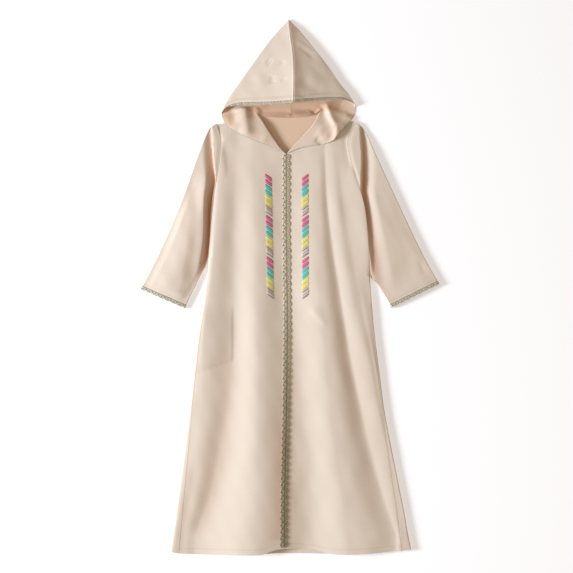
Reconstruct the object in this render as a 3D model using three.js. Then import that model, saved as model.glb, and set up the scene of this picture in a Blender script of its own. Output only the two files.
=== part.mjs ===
// A girl's hooded abaya, closed at the front and laid face up on a flat surface.
// Millimetres, +Z up. The hem lies along X at y = 0 and the hood's peak points to +Y.
// "Right" and "left" are the wearer's: right is the -X side.
import * as THREE from 'three';

// ---- driving sizes ----
const cloth = 1.2; // wall of one layer of cloth
const hemCloth = 0.7; // what the turned-up hem adds on the inside
const hemDepth = 22;
const seamGap = 0.3; // between two sewn pieces
const foldRadius = 4; // of a soft fold, at the middle of the wall
const restHeight = cloth / 2; // middle of a layer that lies on the floor
const onBack = restHeight + cloth + seamGap; // middle of a layer that lies on the back panel
const foldTop = restHeight + 2 * foldRadius;
const trimWidth = 10;
const trimCloth = 1;
const scallopPitch = 16;
const scallopDepth = 2.4;
const hoodTrimGap = 0.8; // between the hood's rim and its lace
const layGap = 0.4; // under what lies on a panel
const hoodOnFront = cloth + 0.8; // from the front's middle to the hood's, where it lies on the chest
const trimLift = 0.3; // keeps the cuff lace just clear of the floor
const scallopSteps = 3; // straight stretches in each scallop
const sideRows = 20; // rows of a body panel between hem and underarm
const frontSpans = 10; // columns of a front, inside its edge
const edgeStep = 3.2; // between the columns next to an edge
const backNeckSpans = 3; // stretches of the back neck seam on each side
const hoodSpans = 5; // columns of each layer of the hood, inside its crease
const sleeveCrown = 4; // rise of a sleeve's middle above its edges
const creviceHeight = 7; // where the sleeve head tucks under itself
const creviceSlope = { toArmhole: 6, toSleeve: 24 }; // widths over which the cloth rises from it
const slipLength = 90; // below the underarm, where the side seam slips to the fold's middle
const shoulderSlope = 45; // below the shoulder seam, where the front comes down onto the back
const leastFold = 6; // between two fold lines that run into the side
const neckSlope = 14; // over which the hood comes down from the shoulders to the floor
const hemLiftDepth = 70; // how far up the hem's lift fades out

// Body outline: x of the side and armhole on each side, and of the closed front, at height y.
const outline = [
  { y: 0, right: -284, left: 296, centre: -10 },
  { y: 96, right: -271, left: 281, centre: -9 },
  { y: 182, right: -259, left: 264, centre: -8 },
  { y: 269, right: -247, left: 247, centre: -6 },
  { y: 355, right: -236, left: 231, centre: -4 },
  { y: 442, right: -226, left: 220, centre: -3 },
  { y: 528, right: -216, left: 209, centre: -2 },
  { y: 614, right: -202, left: 201, centre: -2 },
  { y: 670, right: -194, left: 197, centre: -3 },
  { y: 715, right: -191, left: 195, centre: -3 },
  { y: 782, right: -186, left: 191, centre: -4 },
  { y: 838, right: -180, left: 184, centre: -4 },
  { y: 883, right: -174, left: 172, centre: -4 },
  { y: 922, right: -167, left: 159, centre: -4 },
  { y: 962, right: -162, left: 147, centre: -4 },
  { y: 1001, right: -161, left: 143, centre: -4 },
  { y: 1044, right: -175, left: 158, centre: -4 },
];

// Where the sleeve head folds under itself, outside the armhole seam.
const sleeveFold = [
  { y: 883, right: -175, left: 173 },
  { y: 926, right: -178, left: 177 },
  { y: 974, right: -182, left: 181 },
  { y: 1044, right: -186, left: 178 },
];

// Lower edge of the front and of the back, which shows where the front lifts.
const hemLine = [
  { x: -284, front: 9, back: 9 },
  { x: -206, front: 1, back: 1 },
  { x: -43, front: 0, back: 0 },
  { x: -4, front: 10, back: 2 },
  { x: 45, front: 16, back: 4 },
  { x: 95, front: 12, back: 3 },
  { x: 125, front: 3, back: 1 },
  { x: 200, front: 1, back: 1 },
  { x: 296, front: 14, back: 14 },
];

// Long folds of the front, from the right side to the left: x and height of each line
// at the chest, at the knee and at the hem.
const foldLevels = { chest: 926, knee: 444, hem: 38 };
const folds = [
  { name: 'outer crest', x: [-152, -192, -252], z: [9.5, 10.5, 11] },
  { name: 'outer trough', x: [-130, -139, -226], z: [6, 4.4, 5.4] },
  { name: 'great crest', x: [-79, -70, -92], z: [10, 15, 24] },
  { name: 'placket trough', x: [2, 22, 58], z: [6.5, 4.6, 6] },
  { name: 'left crest', x: [46, 94, 144], z: [9, 13.5, 19] },
  { name: 'left trough', x: [90, 156, 258], z: [6.5, 4.4, 5.6] },
  { name: 'left outer crest', x: [116, 197, 284], z: [9, 10, 10] },
];

// Armhole seam from underarm to shoulder tip: how far up, and the height of the cloth there.
const armhole = [
  { up: 0, z: 4.7 },
  { up: 0.02, z: 5.8 },
  { up: 0.08, z: 7.6 },
  { up: 0.19, z: 8.2 },
  { up: 0.31, z: 8.2 },
  { up: 0.43, z: 8.2 },
  { up: 0.56, z: 8.8 },
  { up: 0.68, z: 9.5 },
  { up: 0.79, z: 9.5 },
  { up: 0.92, z: 7.5 },
  { up: 0.98, z: 5 },
  { up: 1, z: 3.6 },
];
const neckRow = 8; // the armhole row that is level with the foot of the neck opening
const neckShares = [0, 0.4, 0.8, 1]; // places of the rows above it, along the neck opening

const shapes = {
  right: {
    sign: -1,
    underarm: 715,
    shoulder: [-173, 1037],
    neck: [[-77, 1066], [-62, 1044], [-48, 1021], [-34, 1000], [-19, 979], [-5, 966]],
    backNeck: [[9, 1054], [-17, 1055], [-43, 1057], [-77, 1066]],
    sleeveOuter: [[-173, 1037], [-192, 1022], [-216, 965], [-257, 850], [-307, 734], [-350, 649]],
    sleeveInner: [[-191, 715], [-198, 696], [-209, 677], [-235, 622], [-246, 602]],
    crease: [[-4, 1281], [-14, 1271], [-26, 1260], [-58, 1219], [-89, 1176], [-120, 1133], [-142, 1104],
      [-158, 1075]],
    faceTop: [[5, 1093], [-38, 1089], [-72, 1087], [-115, 1086], [-139, 1083], [-158, 1075]],
    faceSide: [[-158, 1075], [-156, 1063], [-151, 1046], [-138, 1028], [-96, 1003], [-54, 987], [-5, 966]],
  },
  left: {
    sign: 1,
    underarm: 670,
    shoulder: [158, 1044],
    neck: [[79, 1073], [62, 1040], [41, 1014], [19, 991], [-3, 966]],
    backNeck: [[9, 1054], [34, 1056], [58, 1062], [79, 1073]],
    sleeveOuter: [[158, 1044], [185, 1022], [211, 965], [264, 850], [319, 734], [358, 660]],
    sleeveInner: [[197, 670], [206, 660], [218, 648], [246, 604]],
    crease: [[8, 1281], [17, 1271], [29, 1260], [62, 1219], [96, 1176], [125, 1133], [149, 1104],
      [163, 1080]],
    faceTop: [[5, 1093], [43, 1097], [89, 1098], [125, 1097], [149, 1091], [163, 1080]],
    faceSide: [[163, 1080], [162, 1066], [155, 1049], [124, 1016], [98, 991], [35, 980], [-3, 966]],
  },
};
const hoodPeak = [2, 1283];
const roofHeight = { peak: 5, face: 34 }; // of the hood's centre seam
const hoodFoldRadius = { peak: 1.4, face: 4.4 };
const backNeckRow = 0.6; // share of the hood's rows above the back neck
const neckPointRow = 0.77; // and above the side of the neck

// Soft ridges of the hood where it is turned out beside the neck.
const hoodRidges = [
  { from: [-104, 1084], to: [-98, 1010], height: 8, width: 22 },
  { from: [84, 1086], to: [106, 1036], height: 7, width: 22 },
  { from: [106, 1036], to: [100, 1000], height: 6, width: 20 },
  { from: [-150, 1062], to: [-118, 1022], height: 3, width: 16 },
  { from: [152, 1064], to: [126, 1024], height: 3, width: 16 },
];

const embroideryBand = { width: 16, top: 916, bottom: 617, strokes: 24, slant: 7, thread: 0.8, crown: 0.7 };
const embroideryLine = {
  right: { top: -47, bottom: -42 },
  left: { top: 41, bottom: 42 },
};
const placketLine = { top: 958, bottom: 28 };
const pocketBag = { inner: -130, top: 612, bottom: 470, corner: 22, cloth: 1, fromSeam: 12 };

// ---- small helpers ----
const lerp = (a, b, t) => a + (b - a) * t;
const clamp = (t) => Math.min(1, Math.max(0, t));
const ease = (t) => clamp(t) ** 2 * (3 - 2 * clamp(t));
const point = (x, y, z) => new THREE.Vector3(x, y, z);
const mixPoints = (a, b, t) => [lerp(a[0], b[0], t), lerp(a[1], b[1], t)];
const steps = (count) => Array.from({ length: count + 1 }, (_, i) => i / count);
const distance = (a, b) => Math.hypot(a[0] - b[0], a[1] - b[1]);

// Value of a table's column at a place on its first column, along a smooth curve.
function column(table, at, name, place) {
  const last = table.length - 1;
  let i = 0;
  while (i < last - 1 && table[i + 1][at] < place) i += 1;
  const row = (k) => table[Math.min(last, Math.max(0, k))];
  const slope = (k) => {
    const [below, above] = [row(k - 1), row(k + 1)];
    return (above[name] - below[name]) / (above[at] - below[at]);
  };
  const span = table[i + 1][at] - table[i][at];
  const t = clamp((place - table[i][at]) / span);
  const rise = 3 * t ** 2 - 2 * t ** 3;
  const blend = [1 - rise, t ** 3 - 2 * t ** 2 + t, rise, t ** 3 - t ** 2];
  return blend[0] * table[i][name] + blend[1] * span * slope(i)
    + blend[2] * table[i + 1][name] + blend[3] * span * slope(i + 1);
}

// A smooth plan curve through a few points; gives [x, y] at a share of its length.
function plan(points) {
  const curve = new THREE.SplineCurve(points.map(([x, y]) => new THREE.Vector2(x, y)));
  return (t) => curve.getPointAt(clamp(t)).toArray();
}

// Plan patch between four curves: two run along u, two along v, and they meet at the corners.
function patch(start, end, first, last) {
  return (u, v) => [0, 1].map((axis) => {
    const along = lerp(start(u)[axis], end(u)[axis], v);
    const across = lerp(first(v)[axis], last(v)[axis], u);
    const corners = lerp(
      lerp(start(0)[axis], start(1)[axis], u),
      lerp(end(0)[axis], end(1)[axis], u),
      v,
    );
    return along + across - corners;
  });
}

// Where a layer's edge folds under: how far up its round the cloth is, at a distance inside.
function foldRise(inside, radius) {
  return inside >= radius ? 1 : Math.sqrt(1 - (1 - inside / radius) ** 2);
}

// Closed wall on a grid of points at the middle of the cloth. Its outside is the side to
// which (along a row) x (up the rows) points. outer and inner give how far the wall reaches
// on each side; ring closes each row on itself; upright marks points at a seam, where the
// wall is cut square to the floor.
function wall(grid, { outer = cloth / 2, inner = cloth / 2, ring = false, upright = () => false } = {}) {
  const rows = grid.length;
  const columns = grid[0].length;
  const spans = ring ? columns : columns - 1;
  const reach = (value, i, j) => (typeof value === 'function' ? value(i, j) : value);
  const normals = grid.map((row) => row.map(() => point(0, 0, 0)));
  for (let i = 0; i < rows - 1; i += 1) {
    for (let j = 0; j < spans; j += 1) {
      const k = (j + 1) % columns;
      const across = grid[i + 1][k].clone().sub(grid[i][j]);
      const along = grid[i][k].clone().sub(grid[i + 1][j]);
      const normal = along.cross(across).normalize();
      [[i, j], [i, k], [i + 1, j], [i + 1, k]].forEach(([a, b]) => normals[a][b].add(normal));
    }
  }
  const positions = [];
  const place = (sign, value) => grid.forEach((row, i) => row.forEach((middle, j) => {
    const normal = normals[i][j].normalize();
    const direction = upright(i, j, normal) ? point(0, 0, Math.sign(normal.z) || 1) : normal;
    positions.push(...middle.clone().addScaledVector(direction, sign * reach(value, i, j)).toArray());
  }));
  place(1, outer);
  place(-1, inner);
  const inside = rows * columns;
  const at = (i, j) => i * columns + (j % columns);
  const indices = [];
  const quad = (a, b, c, d) => indices.push(a, b, c, a, c, d);
  for (let i = 0; i < rows - 1; i += 1) {
    for (let j = 0; j < spans; j += 1) {
      quad(at(i, j), at(i, j + 1), at(i + 1, j + 1), at(i + 1, j));
      quad(inside + at(i, j), inside + at(i + 1, j), inside + at(i + 1, j + 1), inside + at(i, j + 1));
    }
  }
  const rim = (edge) => edge.slice(1).forEach((b, k) => {
    const a = edge[k];
    quad(a, inside + a, inside + b, b);
  });
  const row = (i) => Array.from({ length: spans + 1 }, (_, j) => at(i, j));
  rim(row(0));
  rim(row(rows - 1).reverse());
  if (!ring) {
    const side = (j) => Array.from({ length: rows }, (_, i) => at(i, j));
    rim(side(0).reverse());
    rim(side(columns - 1));
  }
  const geometry = new THREE.BufferGeometry();
  geometry.setAttribute('position', new THREE.Float32BufferAttribute(positions, 3));
  geometry.setIndex(indices);
  geometry.computeVertexNormals();
  return geometry;
}

// ---- the front's height ----
const edgeAt = (side, y) => column(outline, 'y', side, y);
const centreAt = (y) => column(outline, 'y', 'centre', y);

// A fold line is a quadratic through its three named levels.
function alongFold(values, y) {
  const { chest, knee, hem } = foldLevels;
  const t = Math.min(chest, Math.max(hem, y));
  const weights = [
    ((t - knee) * (t - hem)) / ((chest - knee) * (chest - hem)),
    ((t - chest) * (t - hem)) / ((knee - chest) * (knee - hem)),
    ((t - chest) * (t - knee)) / ((hem - chest) * (hem - knee)),
  ];
  return values.reduce((sum, value, k) => sum + value * weights[k], 0);
}

function armholeHeight(side, y) {
  const { underarm, shoulder } = shapes[side];
  const up = (y - underarm) / (shoulder[1] - underarm);
  return column(armhole, 'up', 'z', up);
}

// Height of the shoulder seam line above the hem, continued past its ends.
function shoulderLine(side, x) {
  const { shoulder, neck } = shapes[side];
  return lerp(shoulder[1], neck[0][1], (x - shoulder[0]) / (neck[0][0] - shoulder[0]));
}

// Middle of the front's cloth at a plan point: level at each fold line, eased between them.
function frontHeight(x, y) {
  const edge = (side) => ({
    x: edgeAt(side, y) - shapes[side].sign * (y < shapes[side].underarm ? foldRadius : 0),
    z: y < shapes[side].underarm ? foldTop : armholeHeight(side, y),
  });
  const first = edge('right');
  const last = edge('left');
  const lines = folds.map((fold, k) => ({
    x: Math.min(
      last.x - leastFold * (folds.length - k),
      Math.max(first.x + leastFold * (k + 1), alongFold(fold.x, y)),
    ),
    z: alongFold(fold.z, y),
  }));
  const knots = [first, ...lines, last];
  let k = 0;
  while (k < knots.length - 2 && knots[k + 1].x < x) k += 1;
  const t = (x - knots[k].x) / (knots[k + 1].x - knots[k].x);
  const height = lerp(knots[k].z, knots[k + 1].z, ease(t));
  const side = x < 0 ? 'right' : 'left';
  const belowShoulder = shoulderLine(side, x) - y;
  return lerp(onBack, height, ease(belowShoulder / shoulderSlope));
}

// ---- body panels ----
// Round the side: place of a point on the folded edge, by its way s up from the fold's middle.
function sideFold(s) {
  const quarter = (Math.PI / 2) * foldRadius;
  const turn = Math.min(quarter, Math.max(-quarter, s)) / foldRadius;
  return {
    inset: foldRadius * (1 - Math.cos(turn)) + Math.max(0, Math.abs(s) - quarter),
    z: restHeight + foldRadius * (1 + Math.sin(turn)),
  };
}

// The side seam lies on top near the hem, 20 mm in, and slips down to the fold's middle
// at the underarm.
const seamOnTop = { always: 2.5, atHem: 17, upTo: 374 };
const atUnderarm = (side, y) => ease((y - shapes[side].underarm) / slipLength + 1);
function sideSeam(side, y) {
  const towardHem = clamp((seamOnTop.upTo - y) / seamOnTop.upTo);
  const wrapped = (Math.PI / 2) * foldRadius + seamOnTop.always + seamOnTop.atHem * towardHem;
  return wrapped * (1 - atUnderarm(side, y));
}

// Row levels of a body panel: hem, turned-up hem, side, then armhole.
const bodyLevels = (side) => {
  const { underarm, shoulder } = shapes[side];
  const below = steps(sideRows).slice(1, -1).map((t) => t * underarm);
  return [0, hemDepth, ...below, ...armhole.map(({ up }) => lerp(underarm, shoulder[1], up))];
};
const underarmRow = sideRows + 1;
const isArmhole = (i) => i > underarmRow;
const hemLift = (panel, x, y) => column(hemLine, 'x', panel, x) * (1 - ease(y / hemLiftDepth));
const hemmed = (i) => cloth / 2 + (i < 2 ? hemCloth : 0);
const panelEdge = (side, y) => (y >= shapes[side].shoulder[1] ? shapes[side].shoulder[0] : edgeAt(side, y));
const neckCurve = (side) => plan(shapes[side].neck);

function frontGrid(side) {
  const { sign } = shapes[side];
  return bodyLevels(side).map((y, i) => {
    const edge = [0, 1, 2].map((k) => {
      const way = k * edgeStep;
      if (isArmhole(i)) {
        const x = panelEdge(side, y) - sign * (seamGap / 2 + way);
        return point(x, y, frontHeight(x, y));
      }
      const gap = seamGap * (1 + 2 * atUnderarm(side, y));
      const { inset, z } = sideFold(sideSeam(side, y) + gap + way);
      const x = panelEdge(side, y) - sign * (cloth / 2 + inset);
      return point(x, y, inset > foldRadius ? frontHeight(x, y) : z);
    });
    const above = i - underarmRow - neckRow;
    const inner = above < 0 ? [centreAt(y), y] : neckCurve(side)(1 - neckShares[above]);
    inner[0] += sign * (seamGap / 2);
    const from = [edge[2].x, edge[2].y];
    const across = steps(frontSpans).slice(1).map((t) => {
      const [x, level] = mixPoints(from, inner, t);
      return point(x, level, frontHeight(x, level));
    });
    const row = [...edge, ...across];
    row.forEach((p) => {
      p.y += hemLift('front', p.x, y);
    });
    return row;
  });
}

// Back panel: flat on the floor, its sides folded up and over to meet the front.
function backGrid() {
  const levels = { right: bodyLevels('right'), left: bodyLevels('left') };
  const quarter = (Math.PI / 2) * foldRadius;
  const edge = (side, i) => {
    const { sign } = shapes[side];
    const y = levels[side][i];
    return steps(5).map((t, k) => {
      if (isArmhole(i)) {
        return point(panelEdge(side, y) - sign * (seamGap / 2 + k * edgeStep), y, restHeight);
      }
      const folded = k === 0 ? sideSeam(side, y) : quarter * (1.5 - 2.5 * t);
      const way = lerp(folded, -quarter * t, atUnderarm(side, y));
      const { inset, z } = sideFold(way);
      const x = panelEdge(side, y) - sign * (cloth / 2 + inset);
      return point(x, y, way > quarter ? frontHeight(x, y) : z);
    });
  };
  const neckline = (side) => steps(backNeckSpans).map((t) => plan(shapes[side].backNeck)(t));
  const rightNeck = neckline('right').reverse();
  const leftNeck = neckline('left').slice(1);
  const beside = (side, neckPoint) => mixPoints(shapes[side].shoulder, neckPoint, 0.6);
  const top = [beside('right', rightNeck[0]), ...rightNeck, ...leftNeck, beside('left', leftNeck.at(-1))];
  const ends = [shapes.right.shoulder[0] + 5 * edgeStep, shapes.left.shoulder[0] - 5 * edgeStep];
  return levels.right.map((y, i) => {
    const right = edge('right', i);
    const left = edge('left', i).reverse();
    const above = i - underarmRow - neckRow;
    const middle = top.map(([x, level]) => {
      const share = (x - ends[0]) / (ends[1] - ends[0]);
      const flat = mixPoints([right[5].x, right[5].y], [left[0].x, left[0].y], share);
      const lift = above > 0 ? neckShares[above] : 0;
      const row = mixPoints(flat, [x, level], lift);
      return point(row[0], row[1], restHeight);
    });
    const row = [...right, ...middle, ...left];
    row.forEach((p) => {
      p.y += hemLift('back', p.x, y);
    });
    return row.reverse();
  });
}

// ---- sleeves: flattened tubes from armhole to cuff ----
function sleeveShape(side) {
  const { sign, underarm, shoulder, sleeveOuter, sleeveInner } = shapes[side];
  const cornerGap = 1.2;
  const armholePoint = (u) => {
    const y = lerp(shoulder[1], underarm, u);
    const fromCorner = Math.min(u, 1 - u) * (shoulder[1] - underarm);
    return [panelEdge(side, y) + sign * (seamGap / 2 + cornerGap * (1 - ease(fromCorner / 14))), y];
  };
  const across = (u) => mixPoints(sleeveOuter.at(-1), sleeveInner.at(-1), u);
  const outerEdge = plan([armholePoint(0), ...sleeveOuter.slice(1)]);
  const innerEdge = plan([armholePoint(1), ...sleeveInner.slice(1)]);
  const area = patch(armholePoint, across, outerEdge, innerEdge);
  const length = (u) => distance(armholePoint(u), across(u));

  // A point of the tube: u from outer to inner edge, way down from the armhole in mm.
  const at = (layer, u, way) => {
    const v = way / length(u);
    const width = distance(area(0, v), area(1, v));
    const margin = (cloth / 2 / width) * clamp(v * 30);
    const [x, y] = area(lerp(margin, 1 - margin, u), v);
    const rise = foldRadius * foldRise(Math.min(u, 1 - u) * width, foldRadius);
    const middle = restHeight + foldRadius;
    if (layer === 'under') return point(x, y, middle - rise);
    const crown = sleeveCrown * ease(Math.min(u, 1 - u) / 0.35) * (1 - 0.4 * v);
    const open = middle + rise + crown;
    if (u === 0 || u === 1) return point(x, y, middle);
    const outside = sign * (x - column(sleeveFold, 'y', side, Math.max(y, sleeveFold[0].y)));
    const head = y > sleeveFold[0].y && outside < 0;
    const z = head
      ? lerp(creviceHeight, armholeHeight(side, y), ease(-outside / creviceSlope.toArmhole))
      : lerp(creviceHeight, open, ease(Math.min(Math.max(0, outside), way) / creviceSlope.toSleeve));
    return point(x, y, z);
  };
  return { at, length };
}

const sleeveWays = [0, 3, 9, 18, 30, 42, 60];
const isSeam = (i, j, normal) => i === 0 && Math.abs(normal.z) > 0.5;
const outside = (grid, flip) => (flip ? grid.map((row) => [...row].reverse()) : grid);

function ringOf(count) {
  const upper = count.map((u) => ({ layer: 'top', u }));
  const under = [...count].reverse().slice(1, -1).map((u) => ({ layer: 'under', u }));
  return [...upper, ...under];
}

function sleeveGrid(side) {
  const { at, length } = sleeveShape(side);
  const ring = ringOf([...armhole].reverse().map(({ up }) => 1 - up));
  const lower = steps(5).slice(1);
  const rowCount = sleeveWays.length + lower.length;
  return Array.from({ length: rowCount }, (_, i) => ring.map(({ layer, u }) => {
    const reach = length(u) - trimWidth - seamGap;
    const last = sleeveWays.at(-1);
    const way = i < sleeveWays.length ? sleeveWays[i] : lerp(last, reach, lower[i - sleeveWays.length]);
    return at(layer, u, way);
  }));
}

// Lace round the cuff, carried on from the sleeve's end with a scalloped edge.
function cuffGrid(side) {
  const { at, length } = sleeveShape(side);
  const width = distance(shapes[side].sleeveOuter.at(-1), shapes[side].sleeveInner.at(-1));
  const scallops = Math.round(width / scallopPitch);
  const ring = ringOf(steps(scallops * scallopSteps));
  return [0, 1].map((end) => ring.map(({ layer, u }) => {
    const dip = scallopDepth * (1 - Math.abs(Math.sin(Math.PI * scallops * u)));
    const fromCuff = end ? dip : trimWidth;
    const p = at(layer, u, length(u) - fromCuff);
    p.z += layer === 'under' && u > 0 && u < 1 ? trimLift : 0;
    return p;
  }));
}

// ---- hood: each half is one sheet, folded round its side crease ----
function hoodShape(side) {
  const { sign, crease, faceTop, faceSide, backNeck, neck } = shapes[side];
  const creaseLine = plan(crease);
  const start = (c) => mixPoints(creaseLine(0), hoodPeak, c);
  const roofEnd = plan([...faceTop].reverse());
  const roofSeam = (r) => mixPoints(hoodPeak, faceTop[0], r);
  const neckLine = (r) => {
    if (r < backNeckRow) return mixPoints(hoodPeak, backNeck[0], r / backNeckRow);
    if (r < neckPointRow) return plan(backNeck)((r - backNeckRow) / (neckPointRow - backNeckRow));
    return plan(neck)((r - neckPointRow) / (1 - neckPointRow));
  };
  const roof = patch(start, roofEnd, creaseLine, roofSeam);
  const under = patch(start, plan(faceSide), creaseLine, neckLine);
  const areas = { roof, under };
  const [sideX, sideY] = neck[0];

  // Height of the layer below the hood: floor, or the shoulders and chest of the front.
  const lying = (x, y) => {
    const beyond = sign * (x - sideX) > 0
      ? y - shoulderLine(side, x)
      : Math.hypot(x - sideX, Math.max(0, y - sideY)) - (y < sideY - 12 ? 99 : 0);
    const floor = lerp(hoodOnFront + onBack, restHeight, ease((beyond - 3) / neckSlope));
    const overFront = beyond < 0 ? frontHeight(x, Math.min(y, shoulderLine(side, x))) - onBack : 0;
    return floor + overFront;
  };
  const ridges = (x, y) => hoodRidges.reduce((sum, { from, to, height, width }) => {
    const span = [to[0] - from[0], to[1] - from[1]];
    const t = clamp(((x - from[0]) * span[0] + (y - from[1]) * span[1]) / (span[0] ** 2 + span[1] ** 2));
    const away = distance([x, y], mixPoints(from, to, t));
    return sum + height * ease(1 - away / (2 * width));
  }, 0);

  // c from the crease to the centre seam or neck, r from the peak to the face edge.
  const at = (layer, c, r) => {
    const [x, y] = areas[layer](c, r);
    const fromCrease = distance([x, y], creaseLine(r));
    const radius = lerp(hoodFoldRadius.peak, hoodFoldRadius.face, ease(r * 3));
    const middle = restHeight + radius;
    const rise = radius * foldRise(fromCrease, radius);
    const seamShift = sign * (seamGap / 2) * ease((c - 0.9) / 0.1);
    const margin = -sign * (cloth / 2) * (1 - ease(fromCrease / radius));
    if (layer === 'roof') {
      const seam = lerp(roofHeight.peak, roofHeight.face, r ** 0.8);
      return point(x + seamShift + margin, y, middle + rise + (seam - middle - radius) * c ** 1.15);
    }
    const behindNeck = r >= backNeckRow - 0.05 && r <= neckPointRow + 0.01 ? 2 * seamGap : 0;
    const lift = (lying(x, y) - restHeight) + ridges(x, y);
    return point(x + seamShift + margin, y + behindNeck * ease((c - 0.9) / 0.1), middle - rise + lift);
  };
  const clothEnd = (layer, c) => {
    const step = 0.01;
    const pace = distance(areas[layer](c, 1), areas[layer](c, 1 - step)) / step;
    return 1 - trimWidth / pace;
  };
  const width = (layer, r) => distance(areas[layer](0, r), areas[layer](1, r));
  return { at, clothEnd, width };
}

const hoodLevels = [
  ...steps(6).map((t) => t * backNeckRow),
  ...steps(backNeckSpans).slice(1).map((t) => lerp(backNeckRow, neckPointRow, t)),
  ...steps(4).slice(1).map((t) => lerp(neckPointRow, 1, t)),
];

// Shares of a row from the crease: close together round the fold, then even.
function fromCrease(width, spans) {
  const near = [0, Math.min(1.5, 0.15 * width), Math.min(5, 0.4 * width)].map((d) => d / width);
  return [...near, ...steps(spans).slice(1).map((t) => lerp(near[2], 1, t))];
}

function hoodGrid(side) {
  const { at, clothEnd, width } = hoodShape(side);
  return hoodLevels.map((level) => {
    const part = (layer) => fromCrease(width(layer, level), hoodSpans).map((c) => {
      const shortened = 1 - (1 - clothEnd(layer, c)) * ease((level - neckPointRow) / (1 - neckPointRow));
      return at(layer, c, level * shortened);
    });
    return [...part('roof').reverse(), ...part('under').slice(1)];
  });
}

// Lace along the face edge, carried on from the cloth's own rim with a scalloped edge.
function hoodTrimGrid(side) {
  const { at, clothEnd, width } = hoodShape(side);
  let step = 0;
  const part = (layer) => {
    const shares = fromCrease(width(layer, 1), hoodSpans);
    const rim = shares.map((c) => at(layer, c, clothEnd(layer, c)));
    return shares.slice(1).flatMap((c, k) => {
      const count = Math.max(1, Math.round(rim[k + 1].distanceTo(rim[k]) / (scallopPitch / scallopSteps)));
      return steps(count).slice(1).map((t) => {
        step += 1;
        const dip = scallopDepth * (1 - Math.abs(Math.sin((Math.PI * step) / scallopSteps)));
        const share = lerp(shares[k], c, t);
        const inner = rim[k].clone().lerp(rim[k + 1], t);
        const outer = at(layer, share, 1 - (1 - clothEnd(layer, share)) * (dip / trimWidth));
        return [inner.lerp(outer, hoodTrimGap / inner.distanceTo(outer)), outer];
      });
    });
  };
  const crease = at('roof', 0, clothEnd('roof', 0));
  const corner = at('roof', 0, 1);
  const pairs = [
    ...part('roof').reverse(),
    [crease.lerp(corner, hoodTrimGap / crease.distanceTo(corner)), corner],
    ...part('under'),
  ];
  return [0, 1].map((end) => pairs.map((pair) => pair[end]));
}

// ---- what lies on the front ----
// Height of a panel's grid at a plan point, between its own points.
function surfaceHeight(grid, x, y) {
  const crossings = grid.map((row) => {
    const [low, high] = [row[0].x, row.at(-1).x].sort((a, b) => a - b);
    const within = Math.min(high, Math.max(low, x));
    const k = row.findIndex((p, j) => j === row.length - 2 || (p.x - within) * (row[j + 1].x - within) <= 0);
    const t = (within - row[k].x) / (row[k + 1].x - row[k].x);
    return row[k].clone().lerp(row[k + 1], t);
  });
  const above = Math.max(1, crossings.findIndex((cut) => cut.y >= y));
  const [below, next] = [crossings[above - 1], crossings[above]];
  return lerp(below.z, next.z, clamp((y - below.y) / (next.y - below.y)));
}

const onPanel = (grid, x, y, thickness) =>
  point(x, y, surfaceHeight(grid, x, y) + cloth / 2 + layGap + thickness / 2);

// Lace beside the front opening, straight along the opening and scalloped outside.
function placketGrid(side, grid) {
  const { sign } = shapes[side];
  const { top, bottom } = placketLine;
  const scallops = Math.round((top - bottom) / scallopPitch);
  return steps(scallops * scallopSteps).map((t) => {
    const y = lerp(bottom, top, t);
    const dip = scallopDepth * (1 - Math.abs(Math.sin(Math.PI * scallops * t)));
    const xs = [seamGap / 2, trimWidth - dip].map((away) => centreAt(y) + sign * away);
    return xs.map((x) => onPanel(grid, x, y, trimCloth));
  });
}

// Band of slanted satin strokes. Rows follow the strokes' slant.
function embroideryGrid(side, grid) {
  const { sign } = shapes[side];
  const { width, top, bottom, strokes, slant, thread } = embroideryBand;
  const line = embroideryLine[side];
  return steps(strokes * 2).map((t) => {
    const middle = lerp(line.bottom, line.top, t);
    return [-1, 0, 1].map((place) => {
      const x = middle + place * (width / 2);
      const y = lerp(bottom, top, t) + place * sign * (slant / 2);
      return onPanel(grid, x, y, thread);
    });
  });
}
const strokeCrown = (i) => embroideryBand.thread / 2 + (i % 2 ? embroideryBand.crown : 0);

// Pocket bag, hung in the right side seam between front and back.
function pocketGrid() {
  const { inner, top, bottom, corner, cloth: bag, fromSeam } = pocketBag;
  const z = cloth + seamGap + bag / 2;
  return steps(8).map((t) => {
    const y = lerp(bottom, top, t);
    const fromEnd = Math.min(y - bottom, top - y);
    const rounding = corner * (1 - foldRise(fromEnd, corner));
    const from = edgeAt('right', y) + fromSeam;
    return steps(3).map((s) => point(lerp(from, inner - rounding, s), y, z));
  });
}

// ---- materials ----
const finish = (color, roughness) => new THREE.MeshStandardMaterial({ color, roughness, metalness: 0 });
const crepe = finish('#e8cdb8', 0.6);
const lining = finish('#d9bda6', 0.7);
const lace = finish('#a39c7c', 0.75);
const stitching = finish('#d58fb0', 0.45);

// ---- assembly ----
const abaya = new THREE.Group();
const add = (name, geometry, material) => {
  const mesh = new THREE.Mesh(geometry, material);
  mesh.name = name;
  abaya.add(mesh);
};

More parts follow.
